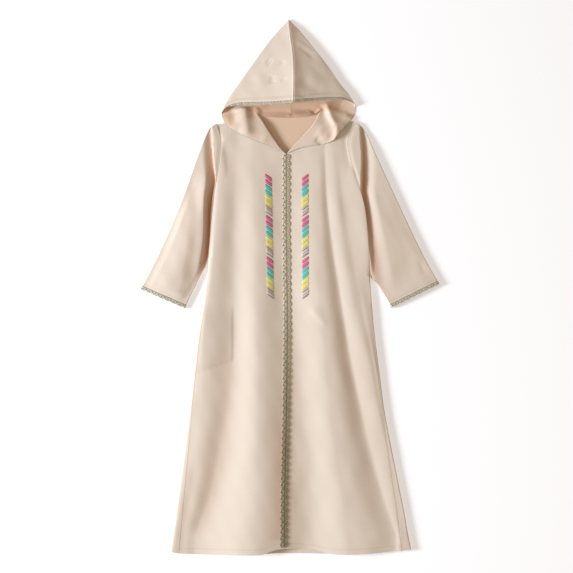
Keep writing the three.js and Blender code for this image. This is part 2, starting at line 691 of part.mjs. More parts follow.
const back = backGrid();
add('back', wall(back, { inner: hemmed, upright: isArmhole }), crepe);
Object.entries(shapes).forEach(([side, { sign }]) => {
  const front = frontGrid(side);
  const isLeft = sign > 0;
  add(
    `front_${side}`,
    wall(outside(front, isLeft), { inner: hemmed, upright: isArmhole }),
    crepe,
  );
  add(
    `sleeve_${side}`,
    wall(outside(sleeveGrid(side), !isLeft), { ring: true, upright: isSeam }),
    crepe,
  );
  const lacy = { outer: trimCloth / 2, inner: trimCloth / 2 };
  add(`cuff_trim_${side}`, wall(outside(cuffGrid(side), !isLeft), { ...lacy, ring: true }), lace);
  add(`hood_${side}`, wall(outside(hoodGrid(side), isLeft)), crepe);
  add(`hood_trim_${side}`, wall(outside(hoodTrimGrid(side), isLeft), lacy), lace);
  add(`placket_trim_${side}`, wall(outside(placketGrid(side, front), !isLeft), lacy), lace);
  const strokes = { outer: strokeCrown, inner: embroideryBand.thread / 2 };
  add(`embroidery_${side}`, wall(embroideryGrid(side, front), strokes), stitching);
});
const bagWall = { outer: pocketBag.cloth / 2, inner: pocketBag.cloth / 2 };
add('pocket_bag', wall(pocketGrid(), bagWall), lining);

// Origin: middle of the underside.
const box = new THREE.Box3().setFromObject(abaya);
const middle = box.getCenter(new THREE.Vector3());
abaya.position.set(-middle.x, -middle.y, -box.min.z);

export default abaya;
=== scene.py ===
import math

import bpy
import numpy as np
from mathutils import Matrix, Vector


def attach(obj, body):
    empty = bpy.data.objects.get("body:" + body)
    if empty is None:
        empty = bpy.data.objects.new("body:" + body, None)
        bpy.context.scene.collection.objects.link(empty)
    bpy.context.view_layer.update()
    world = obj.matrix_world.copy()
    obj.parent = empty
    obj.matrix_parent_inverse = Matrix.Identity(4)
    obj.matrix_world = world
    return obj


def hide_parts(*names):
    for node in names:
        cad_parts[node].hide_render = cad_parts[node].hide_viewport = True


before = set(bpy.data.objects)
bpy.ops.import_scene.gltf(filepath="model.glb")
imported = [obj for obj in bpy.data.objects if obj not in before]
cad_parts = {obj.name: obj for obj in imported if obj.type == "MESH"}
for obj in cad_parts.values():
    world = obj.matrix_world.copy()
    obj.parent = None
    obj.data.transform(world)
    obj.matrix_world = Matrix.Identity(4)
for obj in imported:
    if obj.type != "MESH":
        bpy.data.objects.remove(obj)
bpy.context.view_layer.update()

# A girl's hooded abaya, closed and laid face up. Plan sizes are millimetres from the hem's
# middle: x across, y up to the hood. "right" and "left" are the wearer's, right is -x.
hemOrigin = (-3.987, -640.932)  # where that corner sits in the frame
mm = 0.001
layer = {"wall": 0.7, "floor": 0.6, "onBack": 2.1, "foldRadius": 4.0, "foldDepth": 1.5, "seam": 0.12}
quarterFold = math.pi / 2 * layer["foldRadius"]
sides = ("right", "left")
signOf = {"right": -1, "left": 1}

outline = {  # side and armhole seam, and the closed front
    "y": [0, 96, 182, 269, 355, 442, 528, 614, 670, 715, 782, 838, 883, 922, 962, 1001, 1044],
    "right": [-284, -271, -259, -247, -236, -226, -216, -202, -194,
              -191, -186, -180, -174, -167, -162, -161, -175],
    "left": [296, 281, 264, 247, 231, 220, 209, 201, 197, 195, 191, 184, 172, 159, 147, 143, 158],
    "centre": [-10, -9, -8, -6, -4, -3, -2, -2, -3, -3, -4, -4, -4, -4, -4, -4, -4],
}
shapes = {
    "right": {
        "underarm": 715, "shoulder": (-173, 1037),
        "neck": [(-77, 1066), (-62, 1044), (-48, 1021), (-34, 1000), (-19, 979), (-5, 966)],
        "backNeck": [(9, 1054), (-17, 1055), (-43, 1057), (-77, 1066)],
        "sleeveOuter": [(-192, 1022), (-216, 965), (-257, 850), (-307, 734), (-355, 640)],
        "sleeveInner": [(-198, 696), (-209, 677), (-235, 622), (-249, 594)],
        "crease": [(-1, 1286), (-12, 1273), (-26, 1259), (-58, 1219), (-89, 1176), (-120, 1133),
                   (-142, 1102), (-153, 1082), (-160, 1064)],
        "faceTop": [(14, 1085), (-30, 1082), (-72, 1081), (-115, 1081), (-145, 1077), (-160, 1064)],
        "faceSide": [(-160, 1064), (-158, 1053), (-152, 1040), (-138, 1025), (-96, 1003), (-54, 987),
                     (-5, 966)],
    },
    "left": {
        "underarm": 670, "shoulder": (158, 1044),
        "neck": [(79, 1073), (62, 1040), (41, 1014), (19, 991), (-3, 966)],
        "backNeck": [(9, 1054), (34, 1056), (58, 1062), (79, 1073)],
        "sleeveOuter": [(185, 1022), (211, 965), (264, 850), (319, 734), (364, 652)],
        "sleeveInner": [(206, 660), (218, 648), (249, 595)],
        "crease": [(5, 1286), (17, 1273), (29, 1260), (62, 1219), (96, 1176), (125, 1133),
                   (149, 1104), (163, 1080)],
        "faceTop": [(14, 1085), (50, 1089), (96, 1093), (135, 1094), (154, 1088), (163, 1080)],
        "faceSide": [(163, 1080), (162, 1066), (155, 1049), (124, 1016), (98, 991), (35, 980), (-3, 966)],
    },
}


# small helpers
def lerp(a, b, t):
    return a + (b - a) * t


def clamp(t):
    return np.clip(t, 0.0, 1.0)


def ease(t):
    t = clamp(t)
    return t * t * (3 - 2 * t)


def foldRise(inside, radius):  # how far up its round a folded layer is
    return np.sqrt(1 - (1 - clamp(inside / radius)) ** 2)


def column(table, at, name, place):  # smooth curve through one column of a table
    xs, values = np.array(table[at], float), np.array(table[name], float)
    k = np.arange(len(xs))
    low, high = np.maximum(k - 1, 0), np.minimum(k + 1, len(xs) - 1)
    slopes = (values[high] - values[low]) / (xs[high] - xs[low])
    i = np.clip(np.searchsorted(xs, place) - 1, 0, len(xs) - 2)
    span = xs[i + 1] - xs[i]
    t = clamp((place - xs[i]) / span)
    rise = t * t * (3 - 2 * t)
    bend = slopes[i] * (t**3 - 2 * t * t + t) + slopes[i + 1] * (t**3 - t * t)
    return values[i] * (1 - rise) + values[i + 1] * rise + span * bend


def plan(points):  # smooth line through a few points, read by its share of length
    p = np.array(points, float)
    last = len(p) - 1
    t = np.linspace(0, last, 40 * last + 1)
    k = np.minimum(t.astype(int), last - 1)
    w = (t - k)[:, None]
    p0, p1, p2, p3 = p[np.maximum(k - 1, 0)], p[k], p[k + 1], p[np.minimum(k + 2, last)]
    v0, v1 = (p2 - p0) / 2, (p3 - p1) / 2
    line = (2 * p1 - 2 * p2 + v0 + v1) * w**3 + (3 * p2 - 3 * p1 - 2 * v0 - v1) * w**2 + v0 * w + p1
    reach = lengths(line)
    return lambda share: along(line, reach, clamp(share) * reach[-1])


def lengths(line):
    return np.concatenate([[0], np.cumsum(np.linalg.norm(np.diff(line, axis=0), axis=1))])


def along(line, reach, place):
    return np.stack([np.interp(place, reach, line[:, axis]) for axis in range(line.shape[1])], -1)


def patch(start, end, first, last):  # plan area between four lines that meet at the corners
    def at(u, v):
        u, v = np.broadcast_arrays(np.asarray(u, float), np.asarray(v, float))
        across, upward = u[..., None], v[..., None]
        corners = lerp(lerp(start(0), start(1), across), lerp(end(0), end(1), across), upward)
        return lerp(start(u), end(u), upward) + lerp(first(v), last(v), across) - corners

    return at


def mix(a, b, t):
    return np.array(a, float) + (np.array(b, float) - np.array(a, float)) * np.asarray(t)[..., None]


def ridge(height, width, *line, fade=(0.3, 0.3), top=0.6):
    # A soft ridge along a line of points, or a trough if its height is below zero. It has a width
    # to either side (of a line that runs down: the right first), fades out at both ends and is
    # rounded on top.
    return {"height": height, "width": width, "line": np.array(line, float), "fade": fade, "top": top}


def creased(x, y, ridges):  # sum of soft ridges and troughs
    total = np.zeros(np.broadcast(x, y).shape)
    for crease in ridges:
        line = crease["line"]
        parts = lengths(line)
        best, signed, share = np.full(total.shape, np.inf), np.zeros(total.shape), np.zeros(total.shape)
        for (ax, ay), (bx, by), done in zip(line, line[1:], parts):
            dx, dy = bx - ax, by - ay
            reach = math.hypot(dx, dy)
            t = clamp(((x - ax) * dx + (y - ay) * dy) / reach**2)
            away = np.hypot(x - ax - t * dx, y - ay - t * dy)
            near = away < best
            side = np.sign((y - ay) * dx - (x - ax) * dy)
            best = np.where(near, away, best)
            signed = np.where(near, side * away, signed)
            share = np.where(near, (done + t * reach) / parts[-1], share)
        width = np.where(signed < 0, *crease["width"])
        top = crease["top"] * min(crease["width"])
        reachOut = (np.sqrt(best**2 + top**2) - top) / width
        start, end = crease["fade"]
        ends = ease(share / start) * ease((1 - share) / end)
        total += crease["height"] * np.exp(-reachOut**1.5) * ends
    return total


slightWaves = (  # how fast each runs across and along, and where it starts
    (0.021, 0.008, 0.4), (0.034, -0.013, 2.1), (0.012, 0.031, 4.4), (-0.047, 0.022, 1.2), (0.071, 0.033, 5.1),
)


def wobble(x, y, size):  # slight unevenness that no laid cloth is without
    return size * sum(
        np.sin(ax * x * 2 + ay * y * 2 + turn) / (1 + 12 * abs(ax)) for ax, ay, turn in slightWaves)


# materials
def link(tree, out, into):
    tree.links.new(out, into)


def newGroup(name, inputs, outputs):
    group = bpy.data.node_groups.new(name, "ShaderNodeTree")
    for label, kind, value in inputs:
        socket = group.interface.new_socket(name=label, in_out="INPUT", socket_type=kind)
        if value is not None:
            socket.default_value = value
    for label, kind in outputs:
        group.interface.new_socket(name=label, in_out="OUTPUT", socket_type=kind)
    return group, group.nodes.new("NodeGroupInput"), group.nodes.new("NodeGroupOutput")


def addMath(tree, operation, a, b=None):
    node = tree.nodes.new("ShaderNodeMath")
    node.operation = operation
    for socket, value in zip(node.inputs, (a, b)):
        if value is None:
            continue
        if isinstance(value, (int, float)):
            socket.default_value = value
        else:
            link(tree, value, socket)
    return node.outputs[0]


def addNoise(tree, vector, scale, detail=2.0, roughness=0.5):
    node = tree.nodes.new("ShaderNodeTexNoise")
    node.inputs["Detail"].default_value = detail
    node.inputs["Roughness"].default_value = roughness
    if isinstance(scale, (int, float)):
        node.inputs["Scale"].default_value = scale
    else:
        link(tree, scale, node.inputs["Scale"])
    link(tree, vector, node.inputs["Vector"])
    return node.outputs["Fac"]


def addMix(tree, factor, a, b):
    node = tree.nodes.new("ShaderNodeMix")
    node.data_type = "RGBA"
    for socket, value in ((node.inputs[0], factor), (node.inputs[6], a), (node.inputs[7], b)):
        if isinstance(value, (int, float)):
            socket.default_value = value
        elif isinstance(value, tuple):
            socket.default_value = (*value, 1)
        else:
            link(tree, value, socket)
    return node.outputs[2]


# crossed threads with the pebbly grain of crepe over them
threadField, inside, outside = newGroup(
    "thread field",
    [("Vector", "NodeSocketVector", None), ("Threads", "NodeSocketFloat", 1800.0),
     ("Grain", "NodeSocketFloat", 0.6)],
    [("Height", "NodeSocketFloat"), ("Tone", "NodeSocketFloat")],
)
split = threadField.nodes.new("ShaderNodeSeparateXYZ")
link(threadField, inside.outputs["Vector"], split.inputs[0])
turns = addMath(threadField, "MULTIPLY", inside.outputs["Threads"], 2 * math.pi)
warp = addMath(threadField, "SINE", addMath(threadField, "MULTIPLY", split.outputs["X"], turns))
weft = addMath(threadField, "SINE", addMath(threadField, "MULTIPLY", split.outputs["Y"], turns))
grainScale = addMath(threadField, "MULTIPLY", inside.outputs["Threads"], 0.55)
grain = addNoise(threadField, inside.outputs["Vector"], grainScale, 3.0, 0.6)
grainPart = addMath(threadField, "MULTIPLY", grain, inside.outputs["Grain"])
weavePart = addMath(threadField, "MULTIPLY", addMath(threadField, "MULTIPLY", warp, weft), 0.22)
height = addMath(threadField, "ADD", grainPart, weavePart)
link(threadField, height, outside.inputs["Height"])
link(threadField, grain, outside.inputs["Tone"])

# slow drift of tone over a piece, as dyed cloth has
toneDrift, inside, outside = newGroup(
    "tone drift",
    [("Vector", "NodeSocketVector", None), ("Patch", "NodeSocketFloat", 9.0),
     ("Strength", "NodeSocketFloat", 0.3)],
    [("Fac", "NodeSocketFloat")],
)
wide = addNoise(toneDrift, inside.outputs["Vector"], inside.outputs["Patch"], 2.0)
fineScale = addMath(toneDrift, "MULTIPLY", inside.outputs["Patch"], 9.0)
fine = addNoise(toneDrift, inside.outputs["Vector"], fineScale, 3.0)
widePart = addMath(toneDrift, "MULTIPLY", wide, 0.7)
blend = addMath(toneDrift, "ADD", widePart, addMath(toneDrift, "MULTIPLY", fine, 0.3))
link(toneDrift, addMath(toneDrift, "MULTIPLY", blend, inside.outputs["Strength"]), outside.inputs["Fac"])


def newMaterial(name, roughness, sheen, specular=0.35):
    material = bpy.data.materials.new(name)
    material.use_nodes = True
    tree = material.node_tree
    shader = tree.nodes["Principled BSDF"]
    shader.inputs["Roughness"].default_value = roughness
    shader.inputs["Specular IOR Level"].default_value = specular
    shader.inputs["Sheen Weight"].default_value = sheen
    shader.inputs["Sheen Roughness"].default_value = 0.4
    shader.inputs["Sheen Tint"].default_value = (1.0, 0.9, 0.8, 1)
    return material, tree, shader


def useGroup(tree, group, vector, **values):
    node = tree.nodes.new("ShaderNodeGroup")
    node.node_tree = group
    link(tree, vector, node.inputs["Vector"])
    for label, value in values.items():
        node.inputs[label].default_value = value
    return node


def flatCloth(tree):
    node = tree.nodes.new("ShaderNodeUVMap")
    node.uv_map = "flat"
    return node.outputs["UV"]


def addBump(tree, shader, height, distance, strength=1.0):
    node = tree.nodes.new("ShaderNodeBump")
    node.inputs["Strength"].default_value = strength
    node.inputs["Distance"].default_value = distance
    link(tree, height, node.inputs["Height"])
    link(tree, node.outputs["Normal"], shader.inputs["Normal"])


crepeFinish = {
    "light": (0.835, 0.738, 0.650), "deep": (0.775, 0.672, 0.580), "roughness": 0.72, "sheen": 0.1,
    "specular": 0.18, "threads": 1700.0, "grain": 0.22, "bump": 0.00016,
    "marks": {  # what a mark tints, and how strongly: pocket below; painted orange light and shade on inner sides; painted shade deep in folds; dark seams, partly painted shade
        "under": ((0.700, 0.610, 0.520), 0.55), "reverse": ((0.800, 0.565, 0.405), 1.0),
        "hollowShade": ((0.560, 0.265, 0.145), 0.92), "seam": ((0.560, 0.400, 0.290), 0.8),
    },
}
pocketFinish = {
    **crepeFinish, "light": (0.70, 0.61, 0.52), "deep": (0.62, 0.53, 0.44), "threads": 1100.0,
    "roughness": 0.75, "sheen": 0.05,
}


def makeCrepe(name, finish):
    material, tree, shader = newMaterial(name, finish["roughness"], finish["sheen"], finish["specular"])
    flat = flatCloth(tree)
    threads = useGroup(tree, threadField, flat, Threads=finish["threads"], Grain=0.7)
    drift = useGroup(tree, toneDrift, flat, Patch=7.0, Strength=0.9)
    colour = addMix(tree, drift.outputs["Fac"], finish["light"], finish["deep"])
    grainTone = addMath(tree, "MULTIPLY", threads.outputs["Tone"], finish["grain"])
    colour = addMix(tree, grainTone, colour, finish["deep"])
    for mark, (tone, most) in finish["marks"].items():
        attribute = tree.nodes.new("ShaderNodeAttribute")
        attribute.attribute_name = mark
        colour = addMix(tree, addMath(tree, "MULTIPLY", attribute.outputs["Fac"], most), colour, tone)
    link(tree, colour, shader.inputs["Base Color"])
    addBump(tree, shader, threads.outputs["Height"], finish["bump"], 0.6)
    return material


crepe = makeCrepe("crepe", crepeFinish)
pocketing = makeCrepe("pocketing", pocketFinish)

# lace ground: rows of small holes between knotted threads, read from the band's own map; the holes are
# painted darker as shade seen through them
laceFinish = {
    "open": {
        "thread": (0.90, 0.83, 0.73), "gap": (0.68, 0.60, 0.48), "hole": 0.18,
        "cord": ((0.88, 0.81, 0.69), (0.78, 0.70, 0.57)), "knot": ((0.36, 0.33, 0.23), (0.27, 0.25, 0.17)),
        "atHem": {"net": (0.50, 0.44, 0.31), "cord": (0.50, 0.44, 0.31), "knot": (0.22, 0.195, 0.12)},
    },
    "dense": {
        "thread": (0.80, 0.75, 0.62), "gap": (0.50, 0.46, 0.34), "hole": 0.2,
        "cord": ((0.82, 0.77, 0.64), (0.70, 0.65, 0.51)), "knot": ((0.44, 0.40, 0.28), (0.34, 0.305, 0.20)),
        "atHem": {"net": (0.43, 0.38, 0.25), "cord": (0.44, 0.39, 0.27), "knot": (0.22, 0.195, 0.12)},
    },
    "edge": {
        "thread": (0.80, 0.765, 0.65), "gap": (0.42, 0.39, 0.29), "hole": 0.24,
        "cord": ((0.80, 0.77, 0.66), (0.62, 0.59, 0.48)), "knot": ((0.30, 0.275, 0.19), (0.21, 0.19, 0.13)),
        "atHem": {},
    },
}
netFinish = {
    "roughness": 0.78, "sheen": 0.08, "specular": 0.2, "cells": 420.0, "uneven": 0.35, "bump": 0.0006,
}
hemFade = {"from": 0.02, "perMetre": 2.2, "most": 0.9}
threadTwist = {"lace": 900.0, "seam": 1500.0, "silk": 1300.0}


def towardsHem(tree, colour, tone):  # the front lace darkens down the skirt
    coordinates = tree.nodes.new("ShaderNodeTexCoord")
    split = tree.nodes.new("ShaderNodeSeparateXYZ")
    link(tree, coordinates.outputs["Object"], split.inputs["Vector"])
    below = addMath(tree, "SUBTRACT", hemFade["from"], split.outputs["Y"])
    way = addMath(tree, "MULTIPLY", below, hemFade["perMetre"])
    return addMix(tree, addMath(tree, "MINIMUM", way, hemFade["most"]), colour, tone)


def makeNet(name, finish):
    surface = (netFinish[what] for what in ("roughness", "sheen", "specular"))
    material, tree, shader = newMaterial(name, *surface)
    flat = flatCloth(tree)
    cells = tree.nodes.new("ShaderNodeTexVoronoi")
    cells.inputs["Scale"].default_value = netFinish["cells"]
    cells.inputs["Randomness"].default_value = netFinish["uneven"]
    link(tree, flat, cells.inputs["Vector"])
    drift = useGroup(tree, toneDrift, flat, Patch=30.0, Strength=0.5)
    isThread = addMath(tree, "GREATER_THAN", cells.outputs["Distance"], finish["hole"])
    thread = addMix(tree, drift.outputs["Fac"], finish["thread"], finish["gap"])
    # holes take the darker gap tone: painted shade seen through them
    colour = addMix(tree, isThread, finish["gap"], thread)
    if finish["atHem"]:
        colour = towardsHem(tree, colour, finish["atHem"]["net"])
    link(tree, colour, shader.inputs["Base Color"])
    addBump(tree, shader, cells.outputs["Distance"], netFinish["bump"], 0.8)
    return material


def makeThread(name, light, deep, twist, roughness=0.5, sheen=0.2, atHem=None):
    material, tree, shader = newMaterial(name, roughness, sheen, 0.4)
    coordinates = tree.nodes.new("ShaderNodeTexCoord")
    threads = useGroup(tree, threadField, coordinates.outputs["Object"], Threads=twist, Grain=0.5)
    drift = useGroup(tree, toneDrift, coordinates.outputs["Object"], Patch=60.0, Strength=1.0)
    colour = addMix(tree, drift.outputs["Fac"], light, deep)
    link(tree, towardsHem(tree, colour, atHem) if atHem else colour, shader.inputs["Base Color"])
    addBump(tree, shader, threads.outputs["Height"], 0.0002, 0.7)
    return material


nets = {kind: makeNet(f"lace net {kind}", finish) for kind, finish in laceFinish.items()}
cords = {}
for kind, finish in laceFinish.items():
    cords[kind] = [
        makeThread(f"lace {part} {kind}", *finish[part], threadTwist["lace"], atHem=finish["atHem"].get(part))
        for part in ("cord", "knot")
    ]
seamThread = makeThread("seam thread", (0.72, 0.58, 0.44), (0.60, 0.47, 0.35), threadTwist["seam"])
silkColours = {
    "pink": ((0.72, 0.19, 0.36), (0.54, 0.12, 0.25)),
    "palePink": ((0.92, 0.50, 0.66), (0.84, 0.38, 0.55)),
    "teal": ((0.13, 0.62, 0.56), (0.08, 0.45, 0.41)),
    "mint": ((0.46, 0.86, 0.80), (0.34, 0.74, 0.68)),
    "yellow": ((0.86, 0.81, 0.24), (0.74, 0.69, 0.18)),
    "paleYellow": ((0.92, 0.89, 0.48), (0.84, 0.80, 0.38)),
    "mauve": ((0.44, 0.37, 0.37), (0.33, 0.27, 0.27)),
    "paleMauve": ((0.72, 0.64, 0.60), (0.62, 0.54, 0.50)),
}
silks = {
    name: makeThread(f"silk {name}", *tones, threadTwist["silk"], roughness=0.38, sheen=0.1)
    for name, tones in silkColours.items()
}
print("finishes ready")


# building cloth
def placed(points):  # millimetres from the hem to metres in the frame
    return (np.asarray(points, float) + (*hemOrigin, 0)) * mm


def newObject(name, vertices, faces, materials, faceMaterials=None):
    mesh = bpy.data.meshes.new(name)
    mesh.from_pydata([tuple(p) for p in vertices], [], [tuple(f) for f in faces])
    for material in materials:
        mesh.materials.append(material)
    if faceMaterials is not None:
        mesh.polygons.foreach_set("material_index", np.array(faceMaterials, dtype=np.int32))
    mesh.polygons.foreach_set("use_smooth", np.ones(len(mesh.polygons), dtype=bool))
    mesh.update()
    made = bpy.data.objects.new(name, mesh)
    bpy.context.scene.collection.objects.link(made)
    return made


def setFlatMap(made, corner):  # the cloth as it was cut, in metres, for the weave
    mesh = made.data
    layerMap = mesh.uv_layers.new(name="flat")
    index = np.empty(len(mesh.loops), dtype=np.int32)
    mesh.loops.foreach_get("vertex_index", index)
    layerMap.data.foreach_set("uv", np.asarray(corner)[index].astype(np.float32).ravel())


def setMark(made, name, values):
    mark = made.data.attributes.new(name, "FLOAT", "POINT")
    mark.data.foreach_set("value", np.asarray(values, dtype=np.float32).ravel())


def applyModifiers(made):
    bpy.ops.object.select_all(action="DESELECT")
    made.select_set(True)
    bpy.context.view_layer.objects.active = made
    for modifier in list(made.modifiers):
        bpy.ops.object.modifier_apply(modifier=modifier.name)


def sew(name, grid, material, wall=layer["wall"], ring=False, flip=False, marks=None):
    # A sheet of cloth from a grid of points at its middle, given its thickness by Solidify.
    if flip:
        grid = grid[:, ::-1]
        marks = {key: value[:, ::-1] for key, value in (marks or {}).items()}
    rows, columns = grid.shape[:2]
    spans = columns if ring else columns - 1
    i, j = np.meshgrid(np.arange(rows - 1), np.arange(spans), indexing="ij")
    k = (j + 1) % columns
    faces = np.stack([i * columns + j, i * columns + k, (i + 1) * columns + k, (i + 1) * columns + j], -1)
    points = placed(grid)
    made = newObject(name, points.reshape(-1, 3), faces.reshape(-1, 4), [material])
    across = np.zeros((rows, columns))
    across[:, 1:] = np.cumsum(np.linalg.norm(np.diff(points, axis=1), axis=2), axis=1)
    across -= across[:, columns // 2][:, None]
    upward = np.zeros((rows, columns))
    upward[1:] = np.cumsum(np.linalg.norm(np.diff(points, axis=0), axis=2), axis=0)
    setFlatMap(made, np.stack([across, upward], -1).reshape(-1, 2))
    for key, value in (marks or {}).items():
        setMark(made, key, value)
    thicken = made.modifiers.new("wall", "SOLIDIFY")
    thicken.thickness = wall * mm
    thicken.offset = 0
    applyModifiers(made)
    bpy.ops.object.shade_smooth_by_angle(angle=math.radians(55))
    return made


def finishPiece(made, nodes=()):
    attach(made, "root")
    if nodes:
        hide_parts(*nodes)
    return made


def spread(start, end, count):
    return np.linspace(start, end, count + 1)


def closeTo(away, width):  # 1 on a line, falling off softly to both sides
    return np.exp(-(away / width) ** 2)


def takeShape(made):  # points and faces of a small thing that is copied many times
    points = np.array([tuple(v.co) for v in made.data.vertices])
    faces = [tuple(p.vertices) for p in made.data.polygons]
    bpy.data.objects.remove(made, do_unlink=True)
    return points, faces


def copyFaces(shape, before, turned=False):  # faces of the next copy, after that many others
    points, faces = shape
    return [tuple(v + len(points) * before for v in (face[::-1] if turned else face)) for face in faces]


# front panels
frontCloth = {
    "folds": {  # crests and troughs from the right side to the left, along the length
        "y": [50, 134, 254, 374, 494, 614, 734, 854, 974],
        "x": [
            [-249, -233, -214, -202, -202, -196, -178, -168, -160],
            [-221, -190, -163, -144, -132, -130, -127, -125, -122],
            [-86, -77, -73, -72, -72, -77, -74, -82, -84],
            [53, 50, 41, 29, 19, 4, 0, -4, 0],
            [146, 134, 115, 101, 91, 79, 72, 72, 70],
            [259, 230, 197, 170, 146, 127, 108, 94, 88],
            [270, 254, 238, 212, 187, 156, 134, 118, 108],
            [282, 266, 248, 224, 202, 178, 154, 134, 122],
        ],
        "z": [
            [8.5, 11, 13, 13, 13, 12.5, 11.5, 11.5, 9.5],
            [7, 5.8, 7.4, 7.4, 6.6, 6, 5, 7.4, 8],
            [24, 22.5, 21.5, 20, 17.2, 14.2, 11.2, 11.4, 9.2],
            [4.6, 4.6, 4.6, 4.6, 4.4, 4.4, 4.4, 4.6, 7],
            [16, 15.4, 15, 15, 14.8, 14.4, 11.2, 9.4, 8.6],
            [8, 5.6, 4.8, 4.6, 5.6, 7.2, 6.2, 6.6, 7.8],
            [9.4, 8.4, 9, 10.5, 12, 12, 10.2, 9.8, 9.2],
            [9, 8.4, 8.8, 9.5, 10.5, 10.6, 8.8, 8.4, 8.8],
        ],
        "lean": [1, 1.2, 1, 1, 1, 1.7, 0.7, 1, 1],  # over 1 where the way to the next is steepest at its end
    },
    "creases": [
        ridge(1.4, (5, 12), (50, 604), (72, 575), (98, 546)),
        ridge(0.6, (4, 8), (-163, 1014), (-162, 985), (-162, 960), (-165, 925)),
        ridge(-1.2, (6, 12), (-150, 1000), (-146, 960), (-140, 900)),
        ridge(-2.0, (13, 4), (139, 1018), (142, 985), (148, 955), (156, 915), fade=(0.15, 0.4)),
        ridge(0.8, (9, 9), (122, 1000), (126, 955), (134, 900)),
        ridge(1.2, (14, 16), (24, 330), (38, 250), (34, 150)),
        ridge(-1.0, (9, 12), (-216, 250), (-232, 150), (-252, 60)),
    ],
    "armholeBody": {"up": [0, 0.08, 0.19, 0.31, 0.43, 0.56, 0.68, 0.79, 0.92, 0.98, 1],
                    "z": [8.8, 9.6, 10.6, 11.2, 11.4, 11.2, 10.6, 10, 7.6, 5.1, 3.7]},
    "foldTop": {"right": 11.2, "left": 9.0}, "sideRound": {"right": (2.8, 13), "left": (0.6, 10)},
    "armholeSeam": {"up": [0, 0.02, 0.08, 0.19, 0.31, 0.43, 0.56, 0.68, 0.79, 0.92, 0.98, 1],
                    "right": [4.6, 6, 7.4, 7.8, 7.8, 8, 9, 9.8, 9.4, 7, 4.8, 3.6],
                    "left": [4.6, 6.4, 8.6, 10, 10.6, 10.8, 10.8, 10.2, 9.6, 7.2, 4.9, 3.6]},
    "roll": 11.0, "slipLength": 90, "shoulderSlope": 45, "leastFold": 6,
    "hemLine": {"x": [-284, -265, -228, -108, -60, -44, -28, -4, 31, 67, 91, 112, 170, 270, 296],
                "front": [10.3, 6.2, 4, 3.5, 5, 10.9, 15.7, 17.5, 16.8, 12.8, 7.2, 3.9, 4.5, 12.2, 15.3],
                "back": [10.3, 6.2, 5, 3.6, 2.6, 4, 5, 5, 5, 4.6, 4.2, 4.6, 5.2, 12.2, 15.3]},
    "hemLift": 70, "hemStitch": 13, "pressed": (0.7, 1.3), "uneven": 0.15, "rowStep": 4.6, "columns": 86,
    "fromSeam": [0, 0.5, 1.1, 1.8, 2.8, 4, 5.5, 7.5, 10],  # points close together beside the side seam
    "hemRows": [0, 2, 4.5, 7, 9.5, 11, 12, 13, 14, 15, 17, 20, 24, 28, 32, 36.5, 41],
    "creaseShade": [  # painted orange shade where the cloth looks into its own troughs
        ridge(0.16, (24, 20), (-140, 520), (-150, 374), (-163, 254), (-190, 150), (-226, 40),
              fade=(0.2, 0.1)),
        ridge(0.30, (18, 8), (-14, 400), (-15, 250), (-17, 120), (-18, 20), fade=(0.4, 0.05)),
        ridge(0.06, (10, 16), (14, 300), (16, 200), (18, 60), fade=(0.3, 0.1)),
        ridge(0.06, (22, 24), (118, 560), (150, 420), (190, 300), (222, 160), fade=(0.2, 0.3)),
    ],
    "neckShare": {"up": (0.79, 0.92, 0.98, 1), "share": (0, 0.4, 0.8, 1), "bend": 60},
    "seamOnTop": {"always": 2.5, "atHem": 17, "upTo": 374},
}
pocket = {"inner": -130, "top": 612, "bottom": 470, "corner": 22, "wall": 0.6, "fromSeam": 12,
          "slope": 0.35, "soft": (7, 3, 40)}  # lower edge; how softly inner side, bottom and top show


def edgeAt(side, y):
    return column(outline, "y", side, y)


def centreAt(y):
    return column(outline, "y", "centre", y)


def upArmhole(side, y):
    low, high = shapes[side]["underarm"], shapes[side]["shoulder"][1]
    return (y - low) / (high - low)


def shoulderLine(side, x):
    shoulder, neck = shapes[side]["shoulder"], shapes[side]["neck"][0]
    return lerp(shoulder[1], neck[1], (x - shoulder[0]) / (neck[0] - shoulder[0]))


def pocketShow(x, y):  # where the pocket bag lifts the front a little
    inner, bottom, top = pocket["soft"]
    inX = ease((pocket["inner"] - x) / inner)
    overEdge = ease((y - pocket["bottom"] - pocket["slope"] * (x - pocket["inner"])) / bottom)
    return inX * (overEdge * ease((pocket["top"] - y) / top))


def frontHeight(x, y):
    x, y = np.broadcast_arrays(np.asarray(x, float), np.asarray(y, float))
    knots = []
    for side in sides:
        below = y < shapes[side]["underarm"]
        edge = edgeAt(side, y) - signOf[side] * np.where(below, layer["foldDepth"], 0)
        top = column(frontCloth["armholeBody"], "up", "z", upArmhole(side, y))
        knots.append((edge, np.where(below, frontCloth["foldTop"][side], top)))
    first, last = knots
    folds, least = frontCloth["folds"], frontCloth["leastFold"]
    lines = [first]
    for k, (xs, zs) in enumerate(zip(folds["x"], folds["z"])):
        table = {"y": folds["y"], "x": xs, "z": zs}
        low, high = first[0] + least * (k + 1), last[0] - least * (len(folds["x"]) - k)
        lines.append((np.clip(column(table, "y", "x", y), low, high), column(table, "y", "z", y)))
    lines.append(last)
    height = lines[0][1] * np.ones_like(x)
    for (ax, az), (bx, bz), lean in zip(lines, lines[1:], folds["lean"]):
        height = np.where(x >= ax, lerp(az, bz, ease(clamp((x - ax) / (bx - ax)) ** lean)), height)
    height = height + creased(x, y, frontCloth["creases"]) + wobble(x, y, frontCloth["uneven"])
    height = height + pocketShow(x, y)
    for side, (drop, wide) in frontCloth["sideRound"].items():
        away = signOf[side] * (edgeAt(side, np.minimum(y, shapes[side]["underarm"])) - x)
        height = height - drop * (1 - foldRise(away, wide)) * (y < shapes[side]["underarm"])
    belowShoulder = np.where(x < 0, shoulderLine("right", x), shoulderLine("left", x)) - y
    return lerp(layer["onBack"], height, ease(belowShoulder / frontCloth["shoulderSlope"]))


def nearUnderarm(side, y):
    return ease((y - shapes[side]["underarm"]) / frontCloth["slipLength"] + 1)


